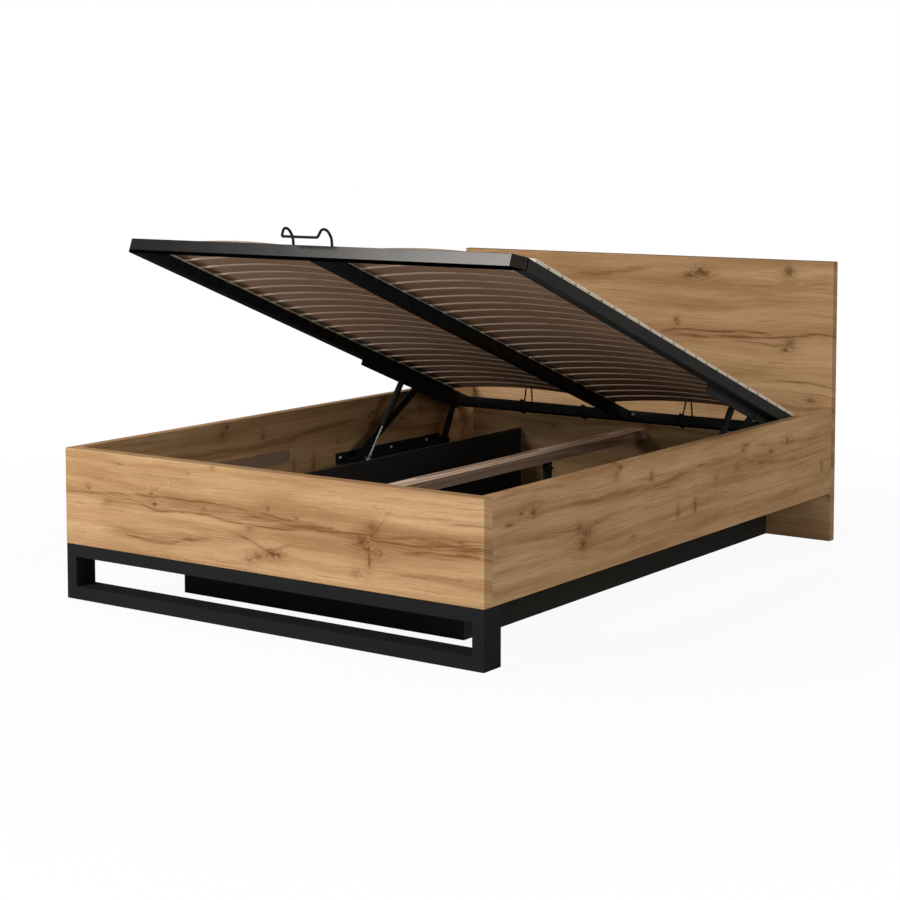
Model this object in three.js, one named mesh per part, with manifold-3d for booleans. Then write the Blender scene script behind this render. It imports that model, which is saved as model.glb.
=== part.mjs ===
// Ottoman bed with a slatted platform that lifts on two side mechanisms, shown raised.
// Millimetres. X runs to the right seen from the foot, Y toward the headboard, Z up.
// The origin is on the floor under the middle of the bed.
import * as THREE from 'three';
import { mergeVertices } from 'three/addons/utils/BufferGeometryUtils.js';
import Module from 'manifold-3d';

const wasm = await Module();
wasm.setup();

// Whole bed
const bedWidth = 1480;
const bedLength = 2092;
const halfWidth = bedWidth / 2;
const footFaceY = -bedLength / 2;
const backFaceY = bedLength / 2;
const halfShare = 0.5;

// Boards
const panelBottom = 163;
const panelTop = 446;
const footboardThickness = 38;
const sidePanelThickness = 32;
const headboardThickness = 32;
const headboardHeight = 937;
const boardEdge = 1;
const footInnerY = footFaceY + footboardThickness;
const headFaceY = backFaceY - headboardThickness;
const panelInnerX = halfWidth - sidePanelThickness;
const insideLength = headFaceY - footInnerY;

// Front leg frame of rectangular tube
const legTubeWidth = 37.5;
const legTubeDepth = 78;
const legTubeEdge = 1.5;
const bottomTubeHeight = 38;
const tubeWall = 2;

// Black storage box that stands on the floor
const storageHalfWidth = 505;
const storageFrontSetback = 249;
const storageHeight = 281;
const storageWall = 11;
const storageFloorThickness = 6;
const storageFrontY = footFaceY + storageFrontSetback;

// Supports of the closed platform
const supportTop = 319.7;
const beamWidth = 68;
const beamHeight = 33.7;
const beamBottom = supportTop - beamHeight;
const battenWidth = 18;
const battenHeight = 40;
const battenToChannel = 265;

// Leg under the beam
const centreLegRadius = 16.5;
const centreLegSetback = 1463;
const centreLegPinHeight = 260;
const centreLegPinRadius = 4;
const centreLegPinLength = 46;

// Platform, in its own coordinates: u runs from the head end to the foot, n stands on its top plane
const platformAngle = THREE.MathUtils.degToRad(20.55);
const platformHeadClearance = 57.8;
const platformHeadY = headFaceY - platformHeadClearance;
const platformHeadZ = 383;
const platformSideClearance = 2;
const platformHalfWidth = panelInnerX - platformSideClearance;
const railWidth = 40;
const railHeight = 34.7;
const railEdge = 1.5;
const headEndU = 4;
const headRailWidth = 35;
const platformEndClearance = 124;
const footEndU = headEndU + insideLength - platformEndClearance;
const footRailWidth = 38;
const cornerCut = 30;
const railInnerX = platformHalfWidth - railWidth;
const headRailInnerU = headEndU + headRailWidth;
const footRailInnerU = footEndU - footRailWidth;

// Gap left between pieces that rest on each other on the raised platform
const seatGap = 0.3;

// Slats and their holders
const slatPitch = 73.2;
const firstSlatU = 178;
const slatCount = Math.floor((footRailInnerU - firstSlatU) / slatPitch);
const slatWidth = 53;
const slatThickness = 7;
const slatRise = 20;
const slatSegments = 6;
const slatFlatLength = 12;
const holderBase = 3;
const holderHeight = 14;
const holderLength = 62;
const holderInset = 8;
const holderStripWidth = 36;
const holderCapWidth = 42;
const holderOuterX = platformHalfWidth - holderInset;
const holderStripInnerX = holderOuterX - holderStripWidth;
const slatOuterX = holderOuterX - holderCapWidth;
const slatInnerX = 18;
const toothReach = 12;
const centreStripHalfWidth = 21;
const holderStripStartU = 141;
const holderStripEndU = footRailInnerU - seatGap;

// Straps that tie the slats to the head rail, and the clamps round that rail
const strapWidth = 8;
const strapThickness = 2;
const strapHalfSpacing = 11.7;
const strapBite = 0.5;
const strapTailU = 10;
const clampWidth = 12;
const clampWall = 5;
const clampPlaceShares = [-0.61, -0.244, 0.314, 0.679];
const columnMiddleX = (slatOuterX + slatInnerX) * halfShare;

// Bolt at the joint of centre rail and head rail
const jointBoltRadius = 6;
const jointBoltHeight = 5;
const jointBoltX = 39;
const jointBoltDepth = 14.2;

// Mattress retainer of bent wire, whose bends are shares of its reach and height
const wireRadius = 3.4;
const retainerHalfWidth = 69;
const retainerBarHalfWidth = 58;
const retainerInset = 18;
const retainerLegU = footEndU - retainerInset;
const retainerReach = 66;
const retainerHeight = 40;
const retainerBendShares = [[0, 0.35], [0.06, 0.6], [0.23, 0.85], [0.47, 1], [0.73, 1], [0.91, 0.78], [0.98, 0.45]];
const retainerBarShare = 0.23;
const retainerSteps = 48;
const wireSegments = 4;

// Mechanism planes, measured inward from the bed's outer face
const plateThickness = 3;
const channelBottom = 240;
const channelOuterTop = 272;
const channelInnerTop = 262;
const bracketThickness = 5;
const bracketPlane = halfWidth - railInnerX;
const channelReach = bracketPlane + bracketThickness;
const linkThickness = 5;
const linkSideGap = 0.6;
const linkPlane = channelReach + linkSideGap;
const strutStandOff = 12.4;
const strutPlane = linkPlane + linkThickness + strutStandOff;
const turnGap = 0.3;

// Pivots: the low ones as distance from the headboard and height, the high ones as u and depth below the top plane
const frontLowDistance = 747.7;
const frontLowHeight = 273.1;
const rearLowDistance = 256.7;
const rearLowHeight = 267;
const strutLowDistance = 727.6;
const strutLowHeight = 251.6;
const frontHighU = 369.35;
const frontHighDepth = 52.34;
const rearHighU = 133.9;
const rearHighDepth = 53.35;
const strutHighU = 480.35;
const strutHighDepth = 37.98;
const channelFrontMargin = 82.3;
const channelRearMargin = 36;
const channelStartY = headFaceY - frontLowDistance - channelFrontMargin;
const channelEndY = headFaceY - rearLowDistance + channelRearMargin;

// Link, bracket and pin sizes
const earRadius = 14;
const frontLinkHalfWidth = 15;
const rearLinkHalfWidth = 17;
const linkArcSegments = 7;
const bracketTopDepth = 6;
const bracketBottomDepth = 63;
const bracketFootU = 705;
const bracketHeadU = 104;
const bracketTaper = 26;
const pinRadius = 5;
const pinHeadRadius = 9;
const pinHeadHeight = 4;
const pinFlangeRadius = 8;
const pinFlangeHeight = 3;
const pinSegments = 14;

// Gas strut
const rodRadius = 4;
const eyeRadius = 10;
const eyeWidth = 10;
const studRadius = 4;
const cylinderRadius = 11;
const cylinderStart = 15;
const cylinderEnd = 208;
const rodInnerEnd = 176;
const boreEnd = 74;
const boreRadius = rodRadius + turnGap;
const strutSegments = 16;
const studHeadRadius = 7;
const studHeadHeight = 3;

const looks = {
  oak: { color: 0xb98e5f, roughness: 0.62, metalness: 0 },
  blackMetal: { color: 0x222222, roughness: 0.55, metalness: 0.3 },
  greyMetal: { color: 0x3a3a3b, roughness: 0.5, metalness: 0.3 },
  blackBoard: { color: 0x151515, roughness: 0.7, metalness: 0 },
  pine: { color: 0x8a6f57, roughness: 0.7, metalness: 0 },
  slat: { color: 0x7a6353, roughness: 0.6, metalness: 0 },
  holder: { color: 0xd6d2c6, roughness: 0.55, metalness: 0 },
  steel: { color: 0xb9bcc0, roughness: 0.3, metalness: 0.9 },
};

const group = new THREE.Group();
group.name = 'ottoman_bed';

function addPart(name, geometry, look) {
  const mesh = new THREE.Mesh(geometry, new THREE.MeshStandardMaterial({ ...looks[look] }));
  mesh.name = name;
  group.add(mesh);
}

function toSolid(geometry) {
  const plain = geometry.clone();
  plain.deleteAttribute('normal');
  plain.deleteAttribute('uv');
  const welded = mergeVertices(plain);
  const mesh = new wasm.Mesh({
    numProp: 3,
    vertProperties: new Float32Array(welded.attributes.position.array),
    triVerts: new Uint32Array(welded.index.array),
  });
  mesh.merge();
  return new wasm.Manifold(mesh);
}

function toGeometry(solid) {
  const mesh = solid.getMesh();
  const geometry = new THREE.BufferGeometry();
  geometry.setAttribute('position', new THREE.BufferAttribute(mesh.vertProperties, 3));
  geometry.setIndex(new THREE.BufferAttribute(mesh.triVerts, 1));
  geometry.computeVertexNormals();
  return geometry;
}

function join(geometries) {
  const solids = geometries.map(toSolid);
  return toGeometry(solids.reduce((whole, next) => whole.add(next)));
}

function cut(geometry, tools) {
  return toGeometry(tools.map(toSolid).reduce((whole, tool) => whole.subtract(tool), toSolid(geometry)));
}

function block([x0, x1], [y0, y1], [z0, z1]) {
  const geometry = new THREE.BoxGeometry(x1 - x0, y1 - y0, z1 - z0);
  return geometry.translate((x0 + x1) * halfShare, (y0 + y1) * halfShare, (z0 + z1) * halfShare);
}

// The range that is left when both ends move inward.
function within([low, high], margin) {
  return [low + margin, high - margin];
}

// A block whose edges are all eased by the given amount.
function easedBlock([x0, x1], [y0, y1], [z0, z1], edge) {
  const shape = new THREE.Shape();
  shape.moveTo(x0 + edge, y0 + edge);
  shape.lineTo(x1 - edge, y0 + edge);
  shape.lineTo(x1 - edge, y1 - edge);
  shape.lineTo(x0 + edge, y1 - edge);
  const geometry = new THREE.ExtrudeGeometry(shape, {
    depth: z1 - z0 - edge - edge,
    bevelEnabled: true,
    bevelThickness: edge,
    bevelSize: edge,
    bevelSegments: 1,
    steps: 1,
  });
  return geometry.translate(0, 0, z0 + edge);
}

function shapeOf(points, holes = []) {
  const shape = new THREE.Shape(points.map(([a, b]) => new THREE.Vector2(a, b)));
  for (const [a, b, radius] of holes) {
    const path = new THREE.Path();
    path.absarc(a, b, radius, 0, Math.PI + Math.PI, true);
    shape.holes.push(path);
  }
  return shape;
}

// A plate drawn in Y and Z and given thickness along X, from one X to a higher one.
function sidePlate(points, holes, [x0, x1], segments = linkArcSegments) {
  const geometry = new THREE.ExtrudeGeometry(shapeOf(points, holes), {
    depth: x1 - x0,
    bevelEnabled: false,
    curveSegments: segments,
  });
  geometry.rotateZ(Math.PI * halfShare);
  geometry.rotateY(Math.PI * halfShare);
  return geometry.translate(x0, 0, 0);
}

// A round bar along X, drawn as steps of radius between X places that rise.
function turnedAlongX(steps, y, z, segments = pinSegments) {
  const profile = [];
  const places = steps.map((step) => step.x);
  profile.push(new THREE.Vector2(0, places[0]));
  for (let i = 0; i + 1 < steps.length; i += 1) {
    profile.push(new THREE.Vector2(steps[i].radius, places[i]));
    profile.push(new THREE.Vector2(steps[i].radius, places[i + 1]));
  }
  profile.push(new THREE.Vector2(0, places[places.length - 1]));
  const geometry = new THREE.LatheGeometry(profile, segments);
  geometry.rotateZ(-Math.PI * halfShare);
  return geometry.translate(0, y, z);
}

// Points round a bar with round ends, from one pivot to the other.
function linkOutline([ay, az], [by, bz], radius) {
  const along = Math.atan2(bz - az, by - ay);
  const points = [];
  for (let i = 0; i <= linkArcSegments; i += 1) {
    const turn = along - Math.PI * halfShare + (Math.PI * i) / linkArcSegments;
    points.push([by + radius * Math.cos(turn), bz + radius * Math.sin(turn)]);
  }
  for (let i = 0; i <= linkArcSegments; i += 1) {
    const turn = along + Math.PI * halfShare + (Math.PI * i) / linkArcSegments;
    points.push([ay + radius * Math.cos(turn), az + radius * Math.sin(turn)]);
  }
  return points;
}

// Moves a piece drawn flat, with Y as minus u and Z as n, onto the raised platform.
function raise(geometry) {
  geometry.rotateX(-platformAngle);
  return geometry.translate(0, platformHeadY, platformHeadZ);
}

// Y and Z of a point of the raised platform, at a depth below its top plane.
function raisedPoint(u, depth) {
  const y = platformHeadY - u * Math.cos(platformAngle) - depth * Math.sin(platformAngle);
  const z = platformHeadZ + u * Math.sin(platformAngle) - depth * Math.cos(platformAngle);
  return [y, z];
}

const frontLinkLow = [headFaceY - frontLowDistance, frontLowHeight];
const rearLinkLow = [headFaceY - rearLowDistance, rearLowHeight];
const strutLow = [headFaceY - strutLowDistance, strutLowHeight];
const frontLinkHigh = raisedPoint(frontHighU, frontHighDepth);
const rearLinkHigh = raisedPoint(rearHighU, rearHighDepth);
const strutHigh = raisedPoint(strutHighU, strutHighDepth);

// X range of a piece of one side that lies between two distances from the outer face.
function inward(side, near, far) {
  return side < 0 ? [near - halfWidth, far - halfWidth] : [halfWidth - far, halfWidth - near];
}

function addPanels() {
  const height = [panelBottom, panelTop];
  addPart('footboard_panel', easedBlock([-halfWidth, halfWidth], [footFaceY, footInnerY], height, boardEdge), 'oak');
  const along = [footInnerY, headFaceY];
  addPart('left_side_panel', easedBlock([-halfWidth, -panelInnerX], along, height, boardEdge), 'oak');
  addPart('right_side_panel', easedBlock([panelInnerX, halfWidth], along, height, boardEdge), 'oak');
  const headboard = easedBlock([-halfWidth, halfWidth], [headFaceY, backFaceY], [0, headboardHeight], boardEdge);
  addPart('headboard_panel', headboard, 'oak');
}

function addFrontFrame() {
  const depth = [footFaceY, footFaceY + legTubeDepth];
  const full = [-halfWidth, halfWidth];
  const topTubeBottom = panelBottom - legTubeWidth;
  const legHeight = [bottomTubeHeight, topTubeBottom];
  const left = [-halfWidth, legTubeWidth - halfWidth];
  const right = [halfWidth - legTubeWidth, halfWidth];

  const hollowDepth = within(depth, tubeWall);
  const through = within(legHeight, -legTubeWidth * halfShare);
  const ports = [left, right].map((range) => block(within(range, tubeWall), hollowDepth, through));
  const topHollow = block(within(full, tubeWall), hollowDepth, within([topTubeBottom, panelBottom], tubeWall));
  const bottomHollow = block(within(full, tubeWall), hollowDepth, within([0, bottomTubeHeight], tubeWall));
  const topTube = easedBlock(full, depth, [topTubeBottom, panelBottom], legTubeEdge);
  const bottomTube = easedBlock(full, depth, [0, bottomTubeHeight], legTubeEdge);
  addPart('front_frame_top_tube', cut(topTube, [topHollow, ...ports]), 'blackMetal');
  addPart('front_frame_bottom_tube', cut(bottomTube, [bottomHollow, ...ports]), 'blackMetal');
  addPart('front_frame_left_leg', cut(easedBlock(left, depth, legHeight, legTubeEdge), [ports[0]]), 'blackMetal');
  addPart('front_frame_right_leg', cut(easedBlock(right, depth, legHeight, legTubeEdge), [ports[1]]), 'blackMetal');
}

function addStorageBox() {
  const inner = storageHalfWidth - storageWall;
  const height = [0, storageHeight];
  const along = [storageFrontY, headFaceY];
  const innerStart = storageFrontY + storageWall;
  addPart('storage_left_panel', block([-storageHalfWidth, -inner], along, height), 'blackBoard');
  addPart('storage_right_panel', block([inner, storageHalfWidth], along, height), 'blackBoard');
  addPart('storage_front_panel', block([-inner, inner], [storageFrontY, innerStart], height), 'blackBoard');
  const floor = block([-inner, inner], [innerStart, headFaceY], [0, storageFloorThickness]);
  addPart('storage_floor_panel', floor, 'blackBoard');
}

function addSupports() {
  const half = beamWidth * halfShare;
  addPart('centre_beam', block([-half, half], [footInnerY, headFaceY], [beamBottom, supportTop]), 'pine');
  const along = [footInnerY, channelStartY - battenToChannel];
  const height = [supportTop - battenHeight, supportTop];
  const inner = panelInnerX - battenWidth;
  addPart('left_support_batten', block([-panelInnerX, -inner], along, height), 'oak');
  addPart('right_support_batten', block([inner, panelInnerX], along, height), 'oak');
}

function addCentreLeg() {
  const y = footFaceY + centreLegSetback;
  const length = beamBottom - storageFloorThickness;
  const post = new THREE.CylinderGeometry(centreLegRadius, centreLegRadius, length, pinSegments);
  post.rotateX(Math.PI * halfShare);
  post.translate(0, y, storageFloorThickness + length * halfShare);
  const pinEnd = centreLegPinLength * halfShare;
  const pinSteps = [{ x: -pinEnd, radius: centreLegPinRadius }, { x: pinEnd }];
  const pin = turnedAlongX(pinSteps, y, centreLegPinHeight);
  addPart('centre_leg', cut(post, [pin]), 'blackMetal');
  addPart('centre_leg_pin', pin, 'blackMetal');
}

function addRails() {
  const depth = [-railHeight, 0];
  const along = [seatGap - footRailInnerU, -headEndU];
  const hollowDepth = within(depth, tubeWall);
  const railAlong = (across) => {
    const hollow = block(within(across, tubeWall), within(along, -railWidth), hollowDepth);
    return cut(easedBlock(across, along, depth, railEdge), [hollow]);
  };
  addPart('platform_left_rail', raise(railAlong([-platformHalfWidth, -railInnerX])), 'blackMetal');
  addPart('platform_right_rail', raise(railAlong([railInnerX, platformHalfWidth])), 'blackMetal');
  const headU = [-headRailInnerU, -headEndU];
  const headAcross = [-railInnerX, railInnerX];
  const headHollow = block(within(headAcross, -railWidth), within(headU, tubeWall), hollowDepth);
  addPart('platform_head_rail', raise(cut(easedBlock(headAcross, headU, depth, railEdge), [headHollow])), 'blackMetal');
  const half = railWidth * halfShare;
  const centreAlong = [seatGap - footRailInnerU, -headRailInnerU - seatGap];
  const centreHollow = block(within([-half, half], tubeWall), within(centreAlong, -railWidth), hollowDepth);
  const centre = cut(easedBlock([-half, half], centreAlong, depth, railEdge), [centreHollow]);
  addPart('platform_centre_rail', raise(centre), 'blackMetal');
  const shoulder = cornerCut - footEndU;
  const outline = [
    [-platformHalfWidth, -footRailInnerU],
    [-platformHalfWidth, shoulder],
    [cornerCut - platformHalfWidth, -footEndU],
    [platformHalfWidth - cornerCut, -footEndU],
    [platformHalfWidth, shoulder],
    [platformHalfWidth, -footRailInnerU],
  ];
  const foot = new THREE.ExtrudeGeometry(shapeOf(outline), { depth: railHeight, bevelEnabled: false });
  foot.translate(0, 0, -railHeight);
  addPart('platform_foot_rail', raise(cut(foot, footRailHollows(hollowDepth, shoulder))), 'greyMetal');
}

// The foot rail's hollow, with a port into the hollow of each side rail.
function footRailHollows(hollowDepth, shoulder) {
  const along = within([-footEndU, -footRailInnerU], tubeWall);
  const inner = platformHalfWidth - cornerCut - tubeWall;
  const main = block([-inner, inner], along, hollowDepth);
  const portAlong = [shoulder + tubeWall, tubeWall - footRailInnerU];
  const left = block(within([-platformHalfWidth, -railInnerX], tubeWall), portAlong, hollowDepth);
  const right = block(within([railInnerX, platformHalfWidth], tubeWall), portAlong, hollowDepth);
  return [main, left, right];
}

function slatUs() {
  return Array.from({ length: slatCount }, (_, i) => firstSlatU + slatPitch * i);
}

// Half outline of a holder: cap outside the slat's end, and the tooth that the slat lies on.
function holderProfile(outer, seat, tooth) {
  return [
    [outer, seatGap], [tooth, seatGap], [tooth, holderBase],
    [seat, holderBase], [seat, holderHeight], [outer, holderHeight],
  ];
}

function profileAlongU(points, startU, length) {
  const geometry = new THREE.ExtrudeGeometry(shapeOf(points), { depth: length, bevelEnabled: false });
  geometry.rotateX(Math.PI * halfShare);
  return geometry.translate(0, -startU, 0);
}

function addHolders() {
  const strip = [-holderStripEndU, -holderStripStartU];
  const base = [seatGap, holderBase];
  const capStart = holderLength * halfShare;
  for (const [name, side] of [['left_slat_holders', -1], ['right_slat_holders', 1]]) {
    const ends = [side * holderOuterX, side * holderStripInnerX].sort((a, b) => a - b);
    const pieces = [block(ends, strip, base)];
    const profile = holderProfile(side * holderOuterX, side * slatOuterX, side * (slatOuterX - toothReach));
    for (const u of slatUs()) {
      pieces.push(profileAlongU(profile, u - capStart, holderLength));
    }
    addPart(name, raise(join(pieces)), 'holder');
  }
  const tooth = slatInnerX + toothReach;
  const centreProfile = [
    [-tooth, seatGap], [tooth, seatGap], [tooth, holderBase], [slatInnerX, holderBase],
    [slatInnerX, holderHeight], [-slatInnerX, holderHeight], [-slatInnerX, holderBase], [-tooth, holderBase],
  ];
  const centre = [block([-centreStripHalfWidth, centreStripHalfWidth], strip, base)];
  for (const u of slatUs()) {
    centre.push(profileAlongU(centreProfile, u - capStart, holderLength));
  }
  addPart('centre_slat_holders', raise(join(centre)), 'holder');
}

// Height of a slat's underside above the platform's top plane, at a share of its length.
function slatUnderside(share) {
  const fromMiddle = (share - halfShare) / halfShare;
  return holderBase + seatGap + slatRise * (1 - fromMiddle * fromMiddle);
}

function slatOutline(x0, x1) {
  const under = [[x0, holderBase + seatGap]];
  const start = x0 + slatFlatLength;
  const length = x1 - x0 - slatFlatLength - slatFlatLength;
  for (let i = 0; i <= slatSegments; i += 1) {
    const share = i / slatSegments;
    under.push([start + length * share, slatUnderside(share)]);
  }
  under.push([x1, holderBase + seatGap]);
  const upper = under.map(([x, n]) => [x, n + slatThickness]).reverse();
  return [...under, ...upper];
}

// Strap that lies on the crowns of the slats and runs down onto the head rail.
function strapAlongU(x) {
  const low = slatUnderside(halfShare) + slatThickness - strapBite;
  const high = low + strapThickness;
  const strapTop = seatGap + strapThickness;
  const endU = firstSlatU + slatPitch * (slatCount - 1) + slatWidth * halfShare;
  const bendU = firstSlatU - slatWidth * halfShare;
  const points = [
    [-endU, low], [-bendU, low], [-headRailInnerU, seatGap], [-strapTailU, seatGap],
    [-strapTailU, strapTop], [-headRailInnerU, strapTop], [-bendU, high], [-endU, high],
  ];
  return sidePlate(points, [], [x - strapWidth * halfShare, x + strapWidth * halfShare]);
}

function addSlats() {
  for (const [name, side] of [['left_slats', -1], ['right_slats', 1]]) {
    const ends = [side * (slatInnerX + seatGap), side * (slatOuterX - seatGap)].sort((a, b) => a - b);
    const outline = slatOutline(...ends);
    const pieces = slatUs().map((u) => profileAlongU(outline, u - slatWidth * halfShare, slatWidth));
    const middle = side * columnMiddleX;
    pieces.push(strapAlongU(middle - strapHalfSpacing), strapAlongU(middle + strapHalfSpacing));
    addPart(name, raise(join(pieces)), 'slat');
  }
}

function addClamps() {
  const around = [-headRailInnerU - clampWall, clampWall - headEndU];
  const height = [-railHeight - clampWall, clampWall];
  clampPlaceShares.forEach((share, i) => {
    const x = share * platformHalfWidth;
    const across = [x - clampWidth * halfShare, x + clampWidth * halfShare];
    const holeU = [-headRailInnerU - seatGap, seatGap - headEndU];
    const hole = block([x - clampWidth, x + clampWidth], holeU, [-railHeight - seatGap, seatGap]);
    addPart(`head_rail_clamp_${i + 1}`, raise(cut(block(across, around, height), [hole])), 'blackMetal');
  });
}

function addJointBolt() {
  const bolt = new THREE.CylinderGeometry(jointBoltRadius, jointBoltRadius, jointBoltHeight, pinSegments);
  bolt.translate(jointBoltX, -headRailInnerU - seatGap - jointBoltHeight * halfShare, -jointBoltDepth);
  addPart('centre_joint_bolt', raise(bolt), 'steel');
}

function addRetainer() {
  const half = (side) => retainerBendShares.map(([reachShare, heightShare]) => {
    const x = retainerHalfWidth - (retainerHalfWidth - retainerBarHalfWidth) * reachShare * reachShare * reachShare;
    return new THREE.Vector3(side * x, -retainerLegU - retainerReach * reachShare, retainerHeight * heightShare);
  });
  const left = [new THREE.Vector3(-retainerHalfWidth, -retainerLegU, seatGap), ...half(-1)];
  const right = [new THREE.Vector3(retainerHalfWidth, -retainerLegU, seatGap), ...half(1)].reverse();
  const barU = retainerLegU + retainerReach;
  const barN = retainerHeight * retainerBarShare;
  const bar = [-1, 0, 1].map((side) => new THREE.Vector3(side * retainerBarHalfWidth, -barU, barN));
  const curve = new THREE.CatmullRomCurve3([...left, ...bar, ...right], false, 'centripetal');
  const section = new THREE.Shape();
  section.absarc(0, 0, wireRadius, 0, Math.PI + Math.PI, false);
  const wire = new THREE.ExtrudeGeometry(section, {
    steps: retainerSteps,
    curveSegments: wireSegments,
    extrudePath: curve,
    bevelEnabled: false,
  });
  addPart('mattress_retainer', raise(wire), 'blackMetal');
}

// Channel on the side panel: outer wall, floor and inner wall, whose two ears carry the links.
function baseChannel(side) {
  const [start, end] = [channelStartY, channelEndY];
  const along = [start, end];
  const outer = inward(side, sidePanelThickness, sidePanelThickness + plateThickness);
  const inner = inward(side, channelReach - plateThickness, channelReach);
  const floorTop = channelBottom + plateThickness;
  const bore = pinRadius + turnGap;
  const [frontY, frontZ] = frontLinkLow;
  const [rearY, rearZ] = rearLinkLow;
  const [strutY, strutZ] = strutLow;
  const earFoot = earRadius + earRadius;
  const outline = [
    [start, channelBottom], [end, channelBottom], [end, channelInnerTop],
    [rearY + earFoot, channelInnerTop], [rearY + earRadius * halfShare, rearZ + earRadius],
    [rearY - earRadius * halfShare, rearZ + earRadius], [rearY - earFoot, channelInnerTop],
    [frontY + earFoot, channelInnerTop], [frontY + earRadius * halfShare, frontZ + earRadius],
    [frontY - earRadius * halfShare, frontZ + earRadius], [frontY - earFoot, channelInnerTop],
    [start, channelInnerTop],
  ];
  const holes = [[frontY, frontZ, bore], [rearY, rearZ, bore], [strutY, strutZ, studRadius + turnGap]];
  const wall = sidePlate(outline, holes, inner, pinSegments);
  const outerWall = block(outer, along, [channelBottom, channelOuterTop]);
  const floor = block(inward(side, sidePanelThickness, channelReach), along, [channelBottom, floorTop]);
  return join([wall, outerWall, floor]);
}

// Pin with a head inboard of the link and a flange on the outer face of its plate.
function flangedPin(side, [y, z], plateOuter) {
  const headStart = linkPlane + linkThickness + turnGap;
  const stops = [
    { t: plateOuter - pinFlangeHeight, radius: pinFlangeRadius },
    { t: plateOuter, radius: pinRadius },
    { t: headStart, radius: pinHeadRadius },
    { t: headStart + pinHeadHeight },
  ];
  return turnedAlongX(stepsOf(side, stops), y, z);
}

// Turns distances from the outer face into X places that rise.
function stepsOf(side, stops) {
  if (side < 0) {
    return stops.map(({ t, radius }) => ({ x: t - halfWidth, radius }));
  }
  const flipped = [];
  for (let i = stops.length - 1; i >= 0; i -= 1) {
    flipped.push({ x: halfWidth - stops[i].t, radius: i > 0 ? stops[i - 1].radius : 0 });
  }
  return flipped;
}

function linkPlate(side, low, high, halfLinkWidth) {
  const bore = pinRadius + turnGap;
  const holes = [[...low, bore], [...high, bore]];
  const across = inward(side, linkPlane, linkPlane + linkThickness);
  return sidePlate(linkOutline(low, high, halfLinkWidth), holes, across, pinSegments);
}

// Head pin that rides with the rear link: its head lies on the link and its end stops short of the bracket.
function ridingPin(side, [y, z]) {
  const stops = [
    { t: linkPlane, radius: pinRadius },
    { t: linkPlane + linkThickness, radius: pinHeadRadius },
    { t: linkPlane + linkThickness + pinHeadHeight },
  ];
  return turnedAlongX(stepsOf(side, stops), y, z);
}

function upperBracket(side) {
  const points = [
    [bracketFootU, bracketTopDepth], [bracketFootU, bracketBottomDepth], [bracketHeadU, bracketBottomDepth],
    [bracketHeadU - bracketTaper, bracketBottomDepth - bracketTaper], [bracketHeadU - bracketTaper, bracketTopDepth],
  ].map(([u, depth]) => [-u, -depth]);
  const holes = [[-frontHighU, -frontHighDepth, pinRadius + turnGap]];
  const across = inward(side, bracketPlane, bracketPlane + bracketThickness);
  return raise(sidePlate(points, holes, across, pinSegments));
}

// A round bar between two distances from a point, along the strut.
function strutBar([y, z], direction, from, to, radius) {
  const bar = new THREE.CylinderGeometry(radius, radius, to - from, strutSegments);
  bar.translate(0, (from + to) * halfShare, 0);
  bar.rotateX(direction);
  return bar.translate(0, y, z);
}

function strutEye(side, [y, z]) {
  const half = eyeWidth * halfShare;
  const stops = [{ t: strutPlane - half, radius: eyeRadius }, { t: strutPlane + half }];
  return turnedAlongX(stepsOf(side, stops), y, z, strutSegments);
}

function addStrut(side, word) {
  const low = strutLow;
  const high = strutHigh;
  const length = Math.hypot(high[0] - low[0], high[1] - low[1]);
  const upward = Math.atan2(high[1] - low[1], high[0] - low[0]);
  const planeX = side * (halfWidth - strutPlane);
  const onPlane = (geometry) => geometry.translate(planeX, 0, 0);

  const rod = onPlane(strutBar(low, upward, 0, length - rodInnerEnd, rodRadius));
  const studBore = [{ t: 0, radius: studRadius + turnGap }, { t: halfWidth }];
  const lowBore = turnedAlongX(stepsOf(side, studBore), low[0], low[1], strutSegments);
  addPart(`${word}_strut_rod`, cut(join([rod, strutEye(side, low)]), [lowBore]), 'steel');

  const cylinder = onPlane(strutBar(high, upward, -cylinderEnd, -cylinderStart, cylinderRadius));
  const neck = onPlane(strutBar(high, upward, -cylinderStart - eyeWidth, 0, studRadius));
  const bore = onPlane(strutBar(high, upward, -cylinderEnd - boreEnd, -boreEnd, boreRadius));
  const studStart = bracketPlane + bracketThickness + turnGap;
  const studStops = [{ t: studStart, radius: studRadius }, { t: strutPlane }];
  const stud = turnedAlongX(stepsOf(side, studStops), high[0], high[1], strutSegments);
  const body = join([cylinder, neck, strutEye(side, high), stud]);
  addPart(`${word}_strut_cylinder`, cut(body, [bore]), 'blackMetal');

  const eyeEnd = strutPlane + eyeWidth * halfShare + turnGap;
  const lowStops = [
    { t: channelReach - plateThickness - studHeadHeight, radius: studHeadRadius },
    { t: channelReach - plateThickness, radius: studRadius },
    { t: eyeEnd, radius: studHeadRadius },
    { t: eyeEnd + studHeadHeight },
  ];
  const lowStud = turnedAlongX(stepsOf(side, lowStops), low[0], low[1], strutSegments);
  addPart(`${word}_strut_stud`, lowStud, 'steel');
}

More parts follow.
